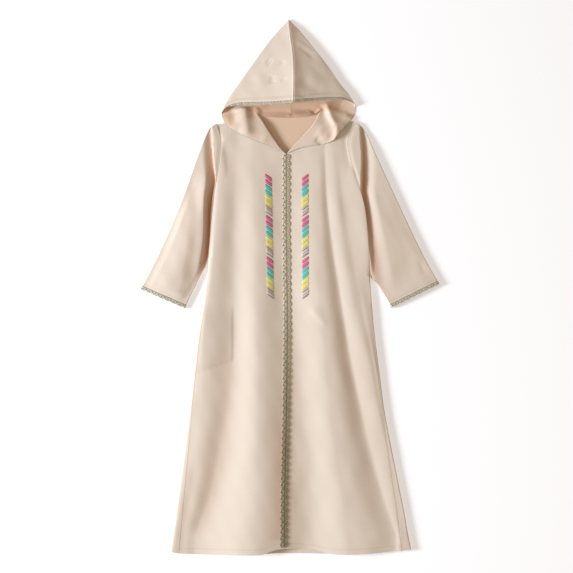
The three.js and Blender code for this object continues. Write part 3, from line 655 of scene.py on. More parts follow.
def sideFold(s):  # place on the folded side, by its way up from the fold's middle
    radius = layer["foldRadius"]
    turn = np.clip(s, -quarterFold, quarterFold) / radius
    inset = layer["foldDepth"] * (1 - np.cos(turn)) + np.maximum(0, np.abs(s) - quarterFold)
    return inset, layer["floor"] + radius * (1 + np.sin(turn))


def sideSeam(side, y):
    top = frontCloth["seamOnTop"]
    wrapped = quarterFold + top["always"] + top["atHem"] * clamp((top["upTo"] - y) / top["upTo"])
    return wrapped * (1 - nearUnderarm(side, y))


def panelEdge(side, y):
    shoulder = shapes[side]["shoulder"]
    return np.where(y >= shoulder[1], shoulder[0], edgeAt(side, np.minimum(y, shoulder[1])))


def hemLift(panel, x, y):
    return column(frontCloth["hemLine"], "x", panel, x) * (1 - ease(y / frontCloth["hemLift"]))


def bodyLevels(side, step):  # close together at the hem's stitching
    low, high = shapes[side]["underarm"], shapes[side]["shoulder"][1]
    hem = frontCloth["hemRows"]
    body = spread(hem[-1], low, int((low - hem[-1]) / step))
    return np.concatenate([hem[:-1], body, spread(low, high, int((high - low) / (0.8 * step)))[1:]])


fineness = 1.0


def frontGrid(side):
    sign, shape = signOf[side], shapes[side]
    y = bodyLevels(side, frontCloth["rowStep"] * fineness)[:, None]
    ways = np.array(frontCloth["fromSeam"])[None, :]
    isArmhole = y > shape["underarm"]
    inset, z = sideFold(sideSeam(side, y) + layer["seam"] + ways)
    x = panelEdge(side, y) - sign * np.where(isArmhole, layer["seam"] + ways, layer["wall"] / 2 + inset)
    onTop = frontHeight(x, y)
    seam = column(frontCloth["armholeSeam"], "up", side, upArmhole(side, y))
    rolled = lerp(seam, onTop, foldRise(ways, frontCloth["roll"]))
    z = np.where(isArmhole, rolled, np.where(inset > layer["foldDepth"], onTop, z))
    edge = np.stack([x, y + 0 * x, z], -1)
    # the inner end runs up the front opening, then along the neck
    up, neck = upArmhole(side, y[:, 0]), frontCloth["neckShare"]
    besideNeck = plan(shape["neck"])(1 - np.interp(up, neck["up"], neck["share"]))
    footLevel = lerp(shape["underarm"], shape["shoulder"][1], neck["up"][0])
    toFoot = ease((y[:, 0] - footLevel + neck["bend"]) / neck["bend"])
    straight = y[:, 0] + (shape["neck"][-1][1] - footLevel) * toFoot
    opening = np.stack([centreAt(y[:, 0]), straight], -1)
    inner = np.where((up < neck["up"][0])[:, None], opening, besideNeck)
    inner[:, 0] += sign * layer["seam"]
    t = spread(0, 1, int(frontCloth["columns"] / fineness))[1:]
    row = mix(edge[:, -1:, :2], inner[:, None, :], np.broadcast_to(t, (len(y), len(t))))
    across = np.dstack([row, frontHeight(row[..., 0], row[..., 1])])
    grid = np.concatenate([edge, across], axis=1)
    # stitching pressed in along the hem and beside the side seam
    way = np.concatenate([np.broadcast_to(ways, edge.shape[:2]), np.full(across.shape[:2], 99.0)], axis=1)
    x, y = grid[..., 0], grid[..., 1]
    depth, width = frontCloth["pressed"]
    pressed = closeTo(y - frontCloth["hemStitch"], width) * depth
    sewn = closeTo(way, 1.2) * (y < shape["underarm"])
    creaseShade = creased(x, y, frontCloth["creaseShade"])
    if side == "right":  # the sleeve head's seam shows as a fine dark line, with painted orange shade below it
        sewn = sewn + closeTo(way, 2.4) * ease((upArmhole(side, y) - 0.5) / 0.1)
        creaseShade = creaseShade + 0.35 * closeTo(way, 2.5) * (1 - ease((upArmhole(side, y) - 0.4) / 0.15))
    hemTop = frontCloth["seamOnTop"]["upTo"]
    grid[..., 2] -= 0.5 * pressed + 0.5 * np.minimum(sewn, 1) * ease((hemTop - y) / hemTop + 0.2)
    # the seam tone darkens the sewn lines, partly as painted shade in their pressed grooves; the trough tone
    # is painted shade
    hemSewn = 0.35 * pressed * (0.4 + 0.6 * closeTo(x, 120))
    sideSewn = 0.6 * sewn * (1 - 0.3 * ease((y - 30) / 30))
    marks = {
        "under": 0.8 * pocketShow(x, y), "seam": clamp(hemSewn + sideSewn), "hollowShade": clamp(creaseShade),
    }
    grid[..., 1] += hemLift("front", x, y)
    return grid, marks


frontGrids = {}
for side in sides:
    frontGrids[side], marks = frontGrid(side)
    made = sew(f"front_{side}_cloth", frontGrids[side], crepe, flip=side == "left", marks=marks)
    finishPiece(made, [f"front_{side}"])
print("fronts sewn")


# back panel: flat on the floor, its sides folded over to meet the fronts
backCloth = {
    "rowStep": 9.0, "columns": 70, "sideSpans": 16, "neckSpans": 8, "armhole": 16,
    # its inner side, seen in the neck, under painted orange shade and a painted shadow beside the hood's edge
    "inside": {"from": 930, "over": 30, "upTo": 2, "reverse": 0.75, "shade": 0.30, "width": 15},
}


def backGrid():
    levels = {side: bodyLevels(side, backCloth["rowStep"] * fineness) for side in sides}
    rows = min(len(level) for level in levels.values())
    share = np.linspace(0, 1, rows)
    for side, level in levels.items():
        levels[side] = np.interp(share, np.linspace(0, 1, len(level)), level)[:, None]
    t = spread(0, 1, backCloth["sideSpans"])[None, :]
    edges = {}
    for side in sides:
        y, sign = levels[side], signOf[side]
        inset, z = sideFold(lerp(sideSeam(side, y), -quarterFold, t))
        isArmhole = y > shapes[side]["underarm"]
        atArmhole = layer["seam"] + backCloth["armhole"] * t
        x = panelEdge(side, y) - sign * np.where(isArmhole, atArmhole, layer["wall"] / 2 + inset)
        wraps = (inset > layer["foldDepth"]) & (z > layer["foldRadius"])
        z = np.where(wraps, frontHeight(x, y), z)
        z = np.where(isArmhole, layer["floor"], z)
        edges[side] = np.stack([x, y + 0 * x, z], -1)
    right, left = edges["right"], edges["left"][:, ::-1]
    neck = [plan(shapes[side]["backNeck"])(spread(0, 1, backCloth["neckSpans"])) for side in sides]
    ends = [shapes[side]["shoulder"] - np.array([signOf[side] * backCloth["armhole"], 0.0]) for side in sides]
    top = np.concatenate([[ends[0]], neck[0][::-1], neck[1][1:], [ends[1]]])
    s = spread(0, 1, int(backCloth["columns"] / fineness))[1:-1]
    x = lerp(ends[0][0], ends[1][0], s)
    level = np.interp(x, top[:, 0], top[:, 1])
    flat = mix(right[:, -1:, :2], left[:, :1, :2], np.broadcast_to(s, (rows, len(s))))
    up = upArmhole("right", levels["right"])
    lift = np.interp(up, frontCloth["neckShare"]["up"], frontCloth["neckShare"]["share"])
    middle = lerp(flat, np.stack([x, level], -1)[None], lift[..., None])
    middle = np.dstack([middle, np.full(middle.shape[:2], layer["floor"])])
    grid = np.concatenate([right, middle, left], axis=1)
    grid[..., 1] += hemLift("back", grid[..., 0], grid[..., 1])
    return grid


grid, inside = backGrid(), backCloth["inside"]
# painted orange shade on the inner side seen in the neck, and a painted shadow beside the hood's edge
insideNeck = ease((grid[..., 1] - inside["from"]) / inside["over"]) * (grid[..., 2] < inside["upTo"])
neckEdge = plan(shapes["right"]["neck"][::-1])(spread(0, 1, 60))
fromHood = grid[..., 0] - np.interp(grid[..., 1], neckEdge[:, 1], neckEdge[:, 0])
shaded = insideNeck * inside["shade"] * closeTo(fromHood, inside["width"])
marks = {"reverse": inside["reverse"] * insideNeck, "hollowShade": shaded}
finishPiece(sew("back_cloth", grid, crepe, flip=True, marks=marks), ["back"])
print("back sewn")


# sleeves: flattened tubes from armhole to cuff
sleeveCloth = {
    "crown": {"right": (4.4, 0.5), "left": (2.0, 0.35)}, "headCrown": 1.4, "corner": 1.0, "lace": 10.0,
    "columns": 56, "rows": 72, "uneven": 0.2, "stitchRow": 6, "pressed": 0.25,
    "stitched": 0.3, "sewn": {"right": 0.8, "left": 0.1},  # how dark the sewn lines are, partly painted shade in their grooves
    "fromFold": [0, 0.002, 0.005, 0.009, 0.014, 0.021, 0.03, 0.042],  # shares close together round the folds
    "fromHead": [0, 0.6, 1.2, 2, 3, 4.2, 5.6, 7.4, 9.5, 12, 15, 18, 21.5, 25, 29, 33, 37.5],
    "fold": {  # where the sleeve head turns down beside the body, and how deep
        "y": [600, 650, 686, 722, 758, 794, 830, 866, 902, 938, 974, 1044],
        "rightX": [-216, -206, -200, -194, -190, -188, -187, -182, -176, -180, -183, -187],
        "leftX": [218, 213, 210, 205, 199, 193, 188, 182.5, 182, 182, 181, 176],
        "rightZ": [8.6, 8.6, 7, 3.2, 2.6, 2.6, 2.6, 2.4, 2.4, 2.6, 3, 3.6],
        "leftZ": [8.6, 8, 6.6, 5.4, 4.6, 4, 3.4, 2.8, 2.6, 2.6, 3, 3.6],
        "rightWide": [24, 24, 20, 17, 16, 16, 17, 21, 24, 24, 22, 20],
        "leftWide": [40, 40, 40, 38, 36, 34, 32, 30, 30, 30, 28, 24],
        "rightHead": [2, 2, 2, 2, 2, 2, 2, 2, 2, 3, 3, 3],
        "leftHead": [9, 9, 9, 8, 7, 6, 6, 7, 6, 5, 4, 4],
        "rightShade": [0, 0.2, 0.8, 1, 1, 1, 1, 0.9, 0.8, 0.7, 0.6, 0.3],
        "leftShade": [0, 0.3, 0.45, 0.55, 0.65, 0.75, 0.9, 1, 1, 0.9, 0.8, 0.4],
        "rightInward": [4, 4, 4, 4, 4, 4, 4, 4, 4, 4, 4, 4],  # how far the painted shade reaches to the armhole
        "leftInward": [20, 20, 20, 20, 20, 18, 14, 8, 5, 4, 3, 3],
        "rightOutward": [10, 12, 14, 13, 12, 12, 13, 16, 17, 16, 14, 10],  # and down the sleeve
        "leftOutward": [16, 16, 15, 14, 12, 11, 9, 8, 8, 7, 6, 5],
    },
    "creases": {
        "right": [
            ridge(5.2, (58, 18), (-237, 890), (-243, 810), (-249, 735), (-262, 665), (-274, 608),
                  fade=(0.3, 0.1)),
            ridge(4.4, (18, 8), (-202, 940), (-200, 880), (-202, 820), (-206, 750), (-213, 690), (-222, 650),
                  fade=(0.2, 0.3)),
            ridge(0.7, (10, 12), (-326, 690), (-300, 668), (-286, 640)),
        ],
        "left": [
            ridge(1.0, (22, 22), (236, 880), (250, 790), (258, 715), (268, 660), fade=(0.35, 0.35)),
            ridge(-1.2, (18, 20), (262, 780), (274, 716), (284, 670), (290, 640)),
            ridge(-1.0, (5, 7), (318, 712), (324, 694), (331, 676)),
            ridge(1.0, (16, 14), (300, 780), (312, 736), (328, 700)),
        ],
    },
    # painted orange shade along the troughs beside the armhole
    "creaseShade": {
        "right": [ridge(0.17, (13, 13), (-228, 920), (-231, 810), (-238, 718), (-243, 650), fade=(0.2, 0.1))],
        "left": [ridge(0.05, (40, 40), (236, 900), (262, 780), (286, 650))],
    },
}


class Sleeve:
    def __init__(self, side):
        self.side, self.sign, self.shape = side, signOf[side], shapes[side]
        outer, inner = self.shape["sleeveOuter"], self.shape["sleeveInner"]
        outerEdge, innerEdge = plan([self.armhole(0.0), *outer]), plan([self.armhole(1.0), *inner])
        self.area = patch(self.armhole, lambda u: mix(outer[-1], inner[-1], u), outerEdge, innerEdge)

    def armhole(self, u):
        low, high = self.shape["underarm"], self.shape["shoulder"][1]
        y = lerp(high, low, np.asarray(u, float))
        fromCorner = np.minimum(u, 1 - u) * (high - low)
        gap = layer["seam"] + sleeveCloth["corner"] * (1 - ease(fromCorner / 14))
        return np.stack([panelEdge(self.side, y) + self.sign * gap, y], -1)

    def length(self, u):
        start, end = self.armhole(u), self.area(u, 1.0)
        return np.linalg.norm(end - start, axis=-1)

    def point(self, onTop, u, way):
        u, way = np.broadcast_arrays(np.asarray(u, float), np.asarray(way, float))
        v = way / self.length(u)
        width = np.linalg.norm(self.area(0 * v, v) - self.area(0 * v + 1, v), axis=-1)
        margin = layer["wall"] / 2 / width * clamp(v * 30)
        xy = self.area(lerp(margin, 1 - margin, u), v)
        x, y = xy[..., 0], xy[..., 1]
        inside = np.minimum(u, 1 - u)
        middle = layer["floor"] + layer["foldRadius"]
        rise = layer["foldRadius"] * foldRise(inside * width, layer["foldDepth"])
        high, reach = sleeveCloth["crown"][self.side]
        crown = high * ease(inside / reach) * (1 - 0.4 * v)
        relief = creased(x, y, sleeveCloth["creases"][self.side]) + wobble(x, y, sleeveCloth["uneven"])
        opened = middle + rise + crown + relief * ease(inside * width / 22)
        foldX, foldZ, wide, head = (self.foldAt(what, y) for what in ("X", "Z", "Wide", "Head"))
        away = self.sign * (x - foldX)
        foldZ = np.minimum(foldZ, opened)
        seam = column(frontCloth["armholeSeam"], "up", self.side, upArmhole(self.side, y))
        seam = lerp(opened, seam, ease((y - self.shape["underarm"]) / 20 + 1))
        rolled = 1 - clamp(-away / head) ** 2
        toHead = lerp(seam + sleeveCloth["headCrown"] * ease(way / 14), foldZ, np.where(away < 0, rolled, 1))
        toSleeve = lerp(foldZ, opened, ease(np.maximum(0, away) / wide))
        upper = np.where(away < 0, toHead, toSleeve)
        upper = lerp(seam, upper, ease(way / 5 + np.where(away < 0, 1, 0)))
        upper = np.where(inside <= 0, middle, upper)
        return np.stack([x, y, np.where(onTop, upper, middle - rise)], -1)

    def foldAt(self, what, y):
        return column(sleeveCloth["fold"], "y", self.side + what, y)

    def shade(self, x, y):  # painted orange shade deep down in the fold
        away = self.sign * (x - self.foldAt("X", y))
        width = np.where(away < 0, self.foldAt("Inward", y), self.foldAt("Outward", y))
        deep = self.foldAt("Shade", y) * closeTo(away, width)
        return deep + creased(x, y, sleeveCloth["creaseShade"][self.side])

    def ring(self, count):
        near = np.array(sleeveCloth["fromFold"])
        shares = np.concatenate([near, spread(0.056, 0.944, count), 1 - near[::-1]])
        u = np.concatenate([shares, shares[::-1][1:-1]])
        return u, np.arange(len(u)) < len(shares)


sleeves = {}
for side in sides:
    sleeve = Sleeve(side)
    u, onTop = sleeve.ring(int(sleeveCloth["columns"] / fineness))
    close = np.array(sleeveCloth["fromHead"])
    reach = sleeve.length(u) - sleeveCloth["lace"]
    t = spread(0, 1, int(sleeveCloth["rows"] / fineness))[1:]
    beyond = lerp(close[-1], reach[None, :], t[:, None])
    ways = np.concatenate([np.broadcast_to(close[:, None], (len(close), len(u))), beyond])
    grid = sleeve.point(onTop[None, :], u[None, :], ways)
    fromCuff = reach[None, :] - ways
    stitched = closeTo(fromCuff - sleeveCloth["stitchRow"], 1.2)
    grid[..., 2] -= np.where(onTop, sleeveCloth["pressed"] * stitched, 0)
    sewn = closeTo(ways, 1.6)
    # the seam tone darkens the sewn and stitched lines, partly as painted shade; the fold tone is painted
    # shade
    marks = {
        "seam": clamp(sleeveCloth["stitched"] * stitched + sleeveCloth["sewn"][side] * sewn),
        "hollowShade": onTop[None, :] * clamp(sleeve.shade(grid[..., 0], grid[..., 1])),
    }
    made = sew(f"sleeve_{side}_cloth", grid, crepe, ring=True, flip=side == "right", marks=marks)
    sleeves[side] = sleeve
    finishPiece(made, [f"sleeve_{side}"])
print("sleeves sewn")


# hood: each half is one sheet, folded round its side crease
hoodCloth = {
    "peak": (2, 1288), "roofSeam": [(2.2, 1288), (6.5, 1250), (12, 1210), (14.8, 1160), (13.8, 1085)],
    "seamHeight": {"peak": 4, "face": 32}, "rows": (78, 24, 14), "columns": 58,
    "nearFold": {"way": [0, 0.5, 1.2, 2.1, 3.3, 5], "share": [0, 0.04, 0.09, 0.15, 0.22, 0.3]},
    "nearSeam": {"way": [5, 3.6, 2.6, 1.8, 1, 0.4, 0], "share": [0.3, 0.22, 0.16, 0.11, 0.06, 0.02, 0]},
    "nearRim": [0.12, 0.09, 0.07, 0.055, 0.045, 0.036, 0.028, 0.02, 0.012, 0.005, 0],
    "outerBounceLight": {"right": (1.0, 125, 20), "left": (0.3, 110, 30)},  # painted orange light on the inner side towards its outer edge: how much, from which x, over what
    "uneven": 0.25, "pressed": 0.25,
    "seamRidge": {"height": 5.0, "right": 30, "left": 22}, "foldRadius": {"peak": 1.4, "face": 4.4},
    "backNeckRow": 0.6, "neckPointRow": 0.77, "onFront": 2.0, "neckSlope": 14, "seamGap": 0.02,
    "neckRound": {"right": 0.3, "left": 1.3},
    "neckLap": {"over": 2.5, "rise": 0.9},  # how the hood's edge lies on the back at the neck
    "lace": {"roof": (2.6, 7.6), "under": (2.6, 4.2)},  # how much of it shows, at the corner and beyond
    "roof": [
        ridge(-1.0, (6, 7), (-50, 1190), (-40, 1180), fade=(0.1, 0.1)),
        ridge(-0.7, (5, 5), (-16, 1188), (-11, 1178), fade=(0.1, 0.1)),
        ridge(-1.0, (4, 7), (-38, 1152), (-37, 1132), fade=(0.1, 0.1)),
        ridge(-0.8, (5, 5), (-12, 1146), (-9, 1138), fade=(0.1, 0.1)),
        ridge(1.0, (9, 12), (-70, 1160), (-60, 1120)),
        ridge(0.7, (7, 3), (20, 1240), (30, 1230), (46, 1220), (70, 1204), fade=(0.3, 0.3)),
        ridge(-0.9, (3, 8), (24, 1220), (46, 1207), (64, 1194), fade=(0.25, 0.3)),
        ridge(-1.0, (8, 15), (11, 1266), (20, 1225), (26, 1180), (28, 1145), fade=(0.12, 0.3)),
        ridge(0.4, (10, 8), (34, 1176), (64, 1152), (104, 1126), fade=(0.3, 0.3)),
        ridge(-1.4, (8, 10), (22, 1150), (50, 1126), (90, 1112)),
        ridge(-1.6, (10, 16), (30, 1150), (34, 1120), (30, 1096), fade=(0.4, 0.1)),
        ridge(0.6, (8, 10), (56, 1196), (84, 1168), (104, 1150)),
    ],
    "under": [
        ridge(7.5, (22, 13), (-106, 1082), (-103, 1046), (-97, 1000), fade=(0.12, 0.25), top=0.25),
        ridge(-2.0, (8, 9), (-133, 1074), (-132, 1052), (-125, 1030), fade=(0.2, 0.3)),
        ridge(-2.2, (7, 7), (-92, 1078), (-88, 1062), (-84, 1048), fade=(0.2, 0.4)),
        ridge(7.4, (7, 20), (91, 1092), (101, 1058), (118, 1027), (116, 1005), (106, 985),
              fade=(0.08, 0.2), top=0.2),
        ridge(1.6, (4, 4), (92, 1088), (104, 1056), (117, 1030), (118, 1008), fade=(0.1, 0.3)),
        ridge(3.0, (8, 8), (72, 1030), (88, 1010), (96, 996), fade=(0.3, 0.3)),
        ridge(-3.0, (3, 5), (58, 1062), (70, 1074), (80, 1086), fade=(0.15, 0.15)),
        ridge(2.6, (5, 6), (66, 1058), (82, 1074), fade=(0.2, 0.2)),
        ridge(-2.4, (4, 7), (64, 1002), (76, 994), (84, 984), fade=(0.3, 0.3)),
        ridge(1.4, (9, 12), (-60, 1010), (-48, 996), fade=(0.3, 0.3)),
        ridge(3.0, (10, 12), (150, 1066), (138, 1040), (126, 1020)),
        ridge(2.6, (9, 12), (-150, 1062), (-138, 1040), (-118, 1020)),
    ],
    # painted orange shade along creases on the inner side
    "creaseShade": [
        ridge(0.2, (12, 12), (-140, 1084), (-146, 1064), (-140, 1040), fade=(0.1, 0.2)),
        ridge(0.26, (8, 9), (-94, 1080), (-88, 1058), (-82, 1040), fade=(0.1, 0.4)),
        ridge(0.3, (6, 5), (-66, 1082), (-54, 1080), (-44, 1084), fade=(0.2, 0.2)),
        ridge(0.3, (4, 5), (62, 1064), (72, 1076), (82, 1088), fade=(0.15, 0.15)),
        ridge(0.12, (9, 9), (96, 1040), (106, 1012), (100, 990), fade=(0.3, 0.3)),
    ],
    "centreLip": {"from": 2.2, "width": 1.3, "height": 0.4}, "stitchRows": (7.5, 10.5),
}


def seamAcross(r):
    return plan(hoodCloth["roofSeam"])(r)[..., 0]


class Hood:
    def __init__(self, side):
        self.side, self.sign, self.shape = side, signOf[side], shapes[side]
        self.crease = plan(self.shape["crease"])
        roofSeam = plan(hoodCloth["roofSeam"])

        def start(c):
            return mix(self.crease(0.0), hoodCloth["peak"], c)

        self.areas = {
            "roof": patch(start, plan(self.shape["faceTop"][::-1]), self.crease, roofSeam),
            "under": patch(start, plan(self.shape["faceSide"]), self.crease, self.neckLine),
        }

    def neckLine(self, r):
        r = np.asarray(r, float)[..., None]
        low, high = hoodCloth["backNeckRow"], hoodCloth["neckPointRow"]
        seam = mix(hoodCloth["peak"], self.shape["backNeck"][0], r[..., 0] / low)
        behind = plan(self.shape["backNeck"])((r[..., 0] - low) / (high - low))
        beside = plan(self.shape["neck"])((r[..., 0] - high) / (1 - high))
        return np.where(r < low, seam, np.where(r < high, behind, beside))

    def lying(self, x, y):  # height of what the hood lies on: floor, or shoulders and chest
        neckX, neckY = self.shape["neck"][0]
        slope, onFront = hoodCloth["neckSlope"], hoodCloth["onFront"] + layer["onBack"]
        shoulder = shoulderLine(self.side, x)
        front = frontHeight(x, np.minimum(y, shoulder)) - layer["onBack"]
        over = ease((shoulder + 3 - y) / 6)
        beside = self.sign * (x - neckX) > 0
        beyond = np.where(beside, y - shoulder, np.hypot(x - neckX, np.maximum(0, y - neckY)))
        floor = lerp(onFront, layer["floor"], ease((beyond - 3) / slope))
        outside = floor + front * over
        inside = lerp(floor, onFront + front, ease((neckY + 3 - y) / 18))
        return np.where(beside, outside, inside)

    def point(self, part, c, r):
        c, r = np.broadcast_arrays(np.asarray(c, float), np.asarray(r, float))
        xy = self.areas[part](c, r)
        x, y = xy[..., 0], xy[..., 1]
        crease = self.crease(r)
        fromCrease = np.hypot(x - crease[..., 0], y - crease[..., 1])
        radius = lerp(hoodCloth["foldRadius"]["peak"], hoodCloth["foldRadius"]["face"], ease(r * 3))
        middle = layer["floor"] + radius
        closing = foldRise(r * 330, 5)
        rise = radius * foldRise(fromCrease, radius) * closing
        nearSeam = ease((c - 0.9) / 0.1)
        atFold = layer["wall"] / 2 * (1 - ease(fromCrease / radius))
        shift = self.sign * (hoodCloth["seamGap"] * nearSeam - atFold)
        off = ease(fromCrease / 16) * closing
        if part == "roof":
            seam = lerp(hoodCloth["seamHeight"]["peak"], hoodCloth["seamHeight"]["face"], r**0.8)
            z = middle + rise + (seam - middle - radius) * closing * c**1.15
            z = z + off * (creased(x, y, hoodCloth["roof"]) + wobble(x, y, hoodCloth["uneven"]))
            fromSeam = np.abs(x - seamAcross(r))
            crown, lip = hoodCloth["seamRidge"], hoodCloth["centreLip"]
            z = z + closing * crown["height"] * np.exp(-fromSeam / crown[self.side]) * ease(r / 0.15)
            if self.side == "right":
                z = z + closing * lip["height"] * closeTo(fromSeam - lip["from"], lip["width"])
            z = z - closing * 0.7 * closeTo(fromSeam, 0.9)
            return np.stack([x + shift, y, z], -1)
        low, high = hoodCloth["backNeckRow"], hoodCloth["neckPointRow"]
        behind = ease((r - low + 0.06) / 0.03) * (1 - ease((r - high) / 0.02)) * nearSeam
        z = middle - rise + self.lying(x, y) - layer["floor"] + off * creased(x, y, hoodCloth["under"])
        z = np.maximum(z, layer["floor"])
        neck = self.neckLine(r)
        fromNeck = np.hypot(x - neck[..., 0], y - neck[..., 1])
        z = z - hoodCloth["neckRound"][self.side] * (1 - foldRise(fromNeck, 4)) * ease((r - high) / 0.03)
        lap = hoodCloth["neckLap"]
        return np.stack([x + shift, y - behind * lap["over"], z + behind * lap["rise"]], -1)

    def clothEnd(self, part, c):
        pace = np.linalg.norm(self.areas[part](c, 1.0) - self.areas[part](c, 0.99), axis=-1) / 0.01
        corner, middle = hoodCloth["lace"][part]
        return 1 - lerp(corner, middle, ease(c / 0.3)) / pace

    def shares(self, part, r, spans):  # close together round the fold and at the seam
        width = np.linalg.norm(self.areas[part](0.0, r) - self.areas[part](1.0, r))
        fold, seam = (
            np.minimum(close["way"], np.array(close["share"]) * width) / width
            for close in (hoodCloth["nearFold"], hoodCloth["nearSeam"]))
        return np.concatenate([fold, spread(fold[-1], 1 - seam[0], spans)[1:-1], 1 - seam])

    def grid(self):
        low, high = hoodCloth["backNeckRow"], hoodCloth["neckPointRow"]
        last = 1 - np.array(hoodCloth["nearRim"]) * (1 - high) / 0.23
        back, neck, front = (int(count / fineness) for count in hoodCloth["rows"])
        levels = np.concatenate([
            [0, 0.003, 0.008, 0.014], spread(0.022, low, back), spread(low, high, neck)[1:],
            spread(high, last[0], front)[1:-1], last,
        ])
        rows = []
        for r in levels:
            row = []
            for part in ("roof", "under"):
                c = self.shares(part, r, int(hoodCloth["columns"] / fineness))
                short = 1 - (1 - self.clothEnd(part, c)) * ease((r - high) / (1 - high))
                line = self.point(part, c, r * short)
                row.append(line[::-1] if part == "roof" else line[1:])
            rows.append(np.concatenate(row))
        return np.array(rows), levels


hoods = {}
for side in sides:
    hood = Hood(side)
    grid, levels = hood.grid()
    inside = np.arange(grid.shape[1])[None, :] >= grid.shape[1] // 2
    fromRim = np.array([np.linalg.norm(grid[-1] - row, axis=-1) for row in grid])
    rows = sum(closeTo(fromRim - place, 0.9) for place in hoodCloth["stitchRows"]) * ~inside
    grid[..., 2] -= hoodCloth["pressed"] * rows
    sewn = closeTo(grid[..., 0] - seamAcross(levels)[:, None], 1.0) * ~inside
    # painted orange light and shade on the inner side, more towards its outer edge and behind the neck;
    # painted shade in its creases; the seam tone darkens stitch rows and seams, partly as painted shade
    most, start, over = hoodCloth["outerBounceLight"][side]
    outer = most * ease((signOf[side] * grid[..., 0] - start) / over)
    low, high = hoodCloth["backNeckRow"], hoodCloth["neckPointRow"]
    behind = (1 - ease((levels - high) / 0.03))[:, None]
    reverse = inside * clamp(0.30 + 0.6 * outer + 0.5 * behind)
    fromEnd = np.linalg.norm(grid[:, -1:] - grid, axis=-1)
    neckSewn = closeTo(fromEnd, 1.6) * ((levels > 0.3) & (levels < high))[:, None]
    hollowShade = inside * clamp(creased(grid[..., 0], grid[..., 1], hoodCloth["creaseShade"]) + 0.23 * behind)
    marks = {"seam": clamp(0.35 * rows + 0.5 * sewn + neckSewn), "reverse": reverse, "hollowShade": hollowShade}
    made = sew(f"hood_{side}_cloth", grid, crepe, flip=side == "left", marks=marks)
    finishPiece(made, [f"hood_{side}"])
    hoods[side] = hood
print("hood sewn")

# pocket bag in the right side seam, between front and back
y = spread(pocket["bottom"], pocket["top"], 40)[:, None]
fromEnd = np.minimum(y - pocket["bottom"], pocket["top"] - y)
rounding = pocket["corner"] * (1 - foldRise(fromEnd, pocket["corner"]))
s = spread(0, 1, 24)[None, :]
x = lerp(edgeAt("right", y) + pocket["fromSeam"], pocket["inner"] - rounding, s)
bag = np.stack([x, y + 0 * x, 2.0 + 0.15 * np.sin(x / 9) * np.sin(y / 13)], -1)
finishPiece(sew("pocket_bag_cloth", bag, pocketing, wall=pocket["wall"]), ["pocket_bag"])
print("pocket bag sewn")


# lace: a net with a scalloped edge, and raised cords from one motif copied along it
lace = {
    "pitch": 16.0, "dip": 3.0, "width": 10.0, "cut": 10.5, "net": 0.4, "steps": 12, "netRows": 6,
    "sunk": 0.1, "flattened": 0.8,  # how the cords sit in the net
    "front": {"from": 21, "to": 965, "points": 312, "centreGap": 0.1, "above": 0.35},
    "cuffPoints": 30, "hoodPoints": 60,
    "motifs": {  # half rings, rings, knots and straight cords of one repeat: place, size, thickness, tone
        "open": {"arches": [(8, 3.6, 5.4, 0.5, 0)], "rings": [(0, 6.4, 1.9, 0.5, 0)],
                 "knots": [(4.6, 8.4, 2.1, 1), (12.4, 5.0, 2.1, 1), (8.4, 3.0, 1.2, 1), (0.2, 3.4, 1.2, 1),
                           (9.6, 7.4, 1.0, 0)],
                 "lines": [(0.6, 0.8, 1), (2.4, 0.4, 0)]},
        "dense": {"arches": [(8, 2.6, 6.6, 1.0, 1)], "rings": [(8, 5.0, 2.0, 0.6, 1)],
                  "knots": [(0, 6.6, 1.3, 0), (3.4, 4.0, 1.0, 0), (12.6, 4.0, 1.0, 0), (8, 8.8, 1.7, 1)],
                  "lines": [(0.6, 0.8, 1), (2.4, 0.4, 0)]},
        "edge": {"arches": [(8, 2.8, 6.2, 0.6, 0)], "rings": [(8, 5.0, 2.0, 0.5, 0)],
                 "knots": [(8, 5.0, 1.5, 1), (0, 4.4, 1.7, 1), (4.0, 8.0, 1.3, 1), (12.0, 8.0, 1.3, 1),
                           (0, 8.4, 1.1, 0)],
                 "lines": [(0.7, 0.6, 1), (2.4, 0.4, 0)]},
    },
}


def modelMotif(motif):  # one repeat, x along the band and y across it, in millimetres
    parts, shades = [], []

    def keep(shade):
        parts.append(bpy.context.view_layer.objects.active)
        shades.extend([shade] * len(parts[-1].data.polygons))
        bpy.ops.object.select_all(action="DESELECT")

    def cut(at, across, clear):
        bpy.ops.object.mode_set(mode="EDIT")
        bpy.ops.mesh.select_all(action="SELECT")
        bpy.ops.mesh.bisect(plane_co=at, plane_no=across, clear_inner=clear, use_fill=clear)
        bpy.ops.object.mode_set(mode="OBJECT")

    bpy.ops.object.select_all(action="DESELECT")
    for x, y, size, thick, shade in motif["arches"]:
        bpy.ops.mesh.primitive_torus_add(
            major_segments=16, minor_segments=5, major_radius=size, minor_radius=thick, location=(x, y, 0.5))
        cut((x, y, 0), (0, 1, 0), True)
        keep(shade)
    for x, y, size, thick, shade in motif["rings"]:
        bpy.ops.mesh.primitive_torus_add(
            major_segments=9, minor_segments=4, major_radius=size, minor_radius=thick, location=(x, y, 0.5))
        keep(shade)
    for x, y, size, shade in motif["knots"]:
        bpy.ops.mesh.primitive_ico_sphere_add(subdivisions=1, radius=size, location=(x, y, 0.3))
        keep(shade)
    for y, thick, shade in motif["lines"]:
        bpy.ops.mesh.primitive_cylinder_add(
            vertices=6, radius=thick, depth=lace["pitch"], location=(lace["pitch"] / 2, y, 0.4),
            rotation=(0, math.pi / 2, 0))
        for quarter in (1, 2, 3):  # so that it can follow a bend
            cut((lace["pitch"] * quarter / 4, 0, 0), (1, 0, 0), False)
        keep(shade)
    for part in parts:
        part.select_set(True)
    bpy.context.view_layer.objects.active = parts[0]
    bpy.ops.object.join()
    bpy.ops.object.transform_apply(location=True, rotation=True, scale=True)
    return takeShape(bpy.context.view_layer.objects.active), shades


motifs = {kind: modelMotif(motif) for kind, motif in lace["motifs"].items()}


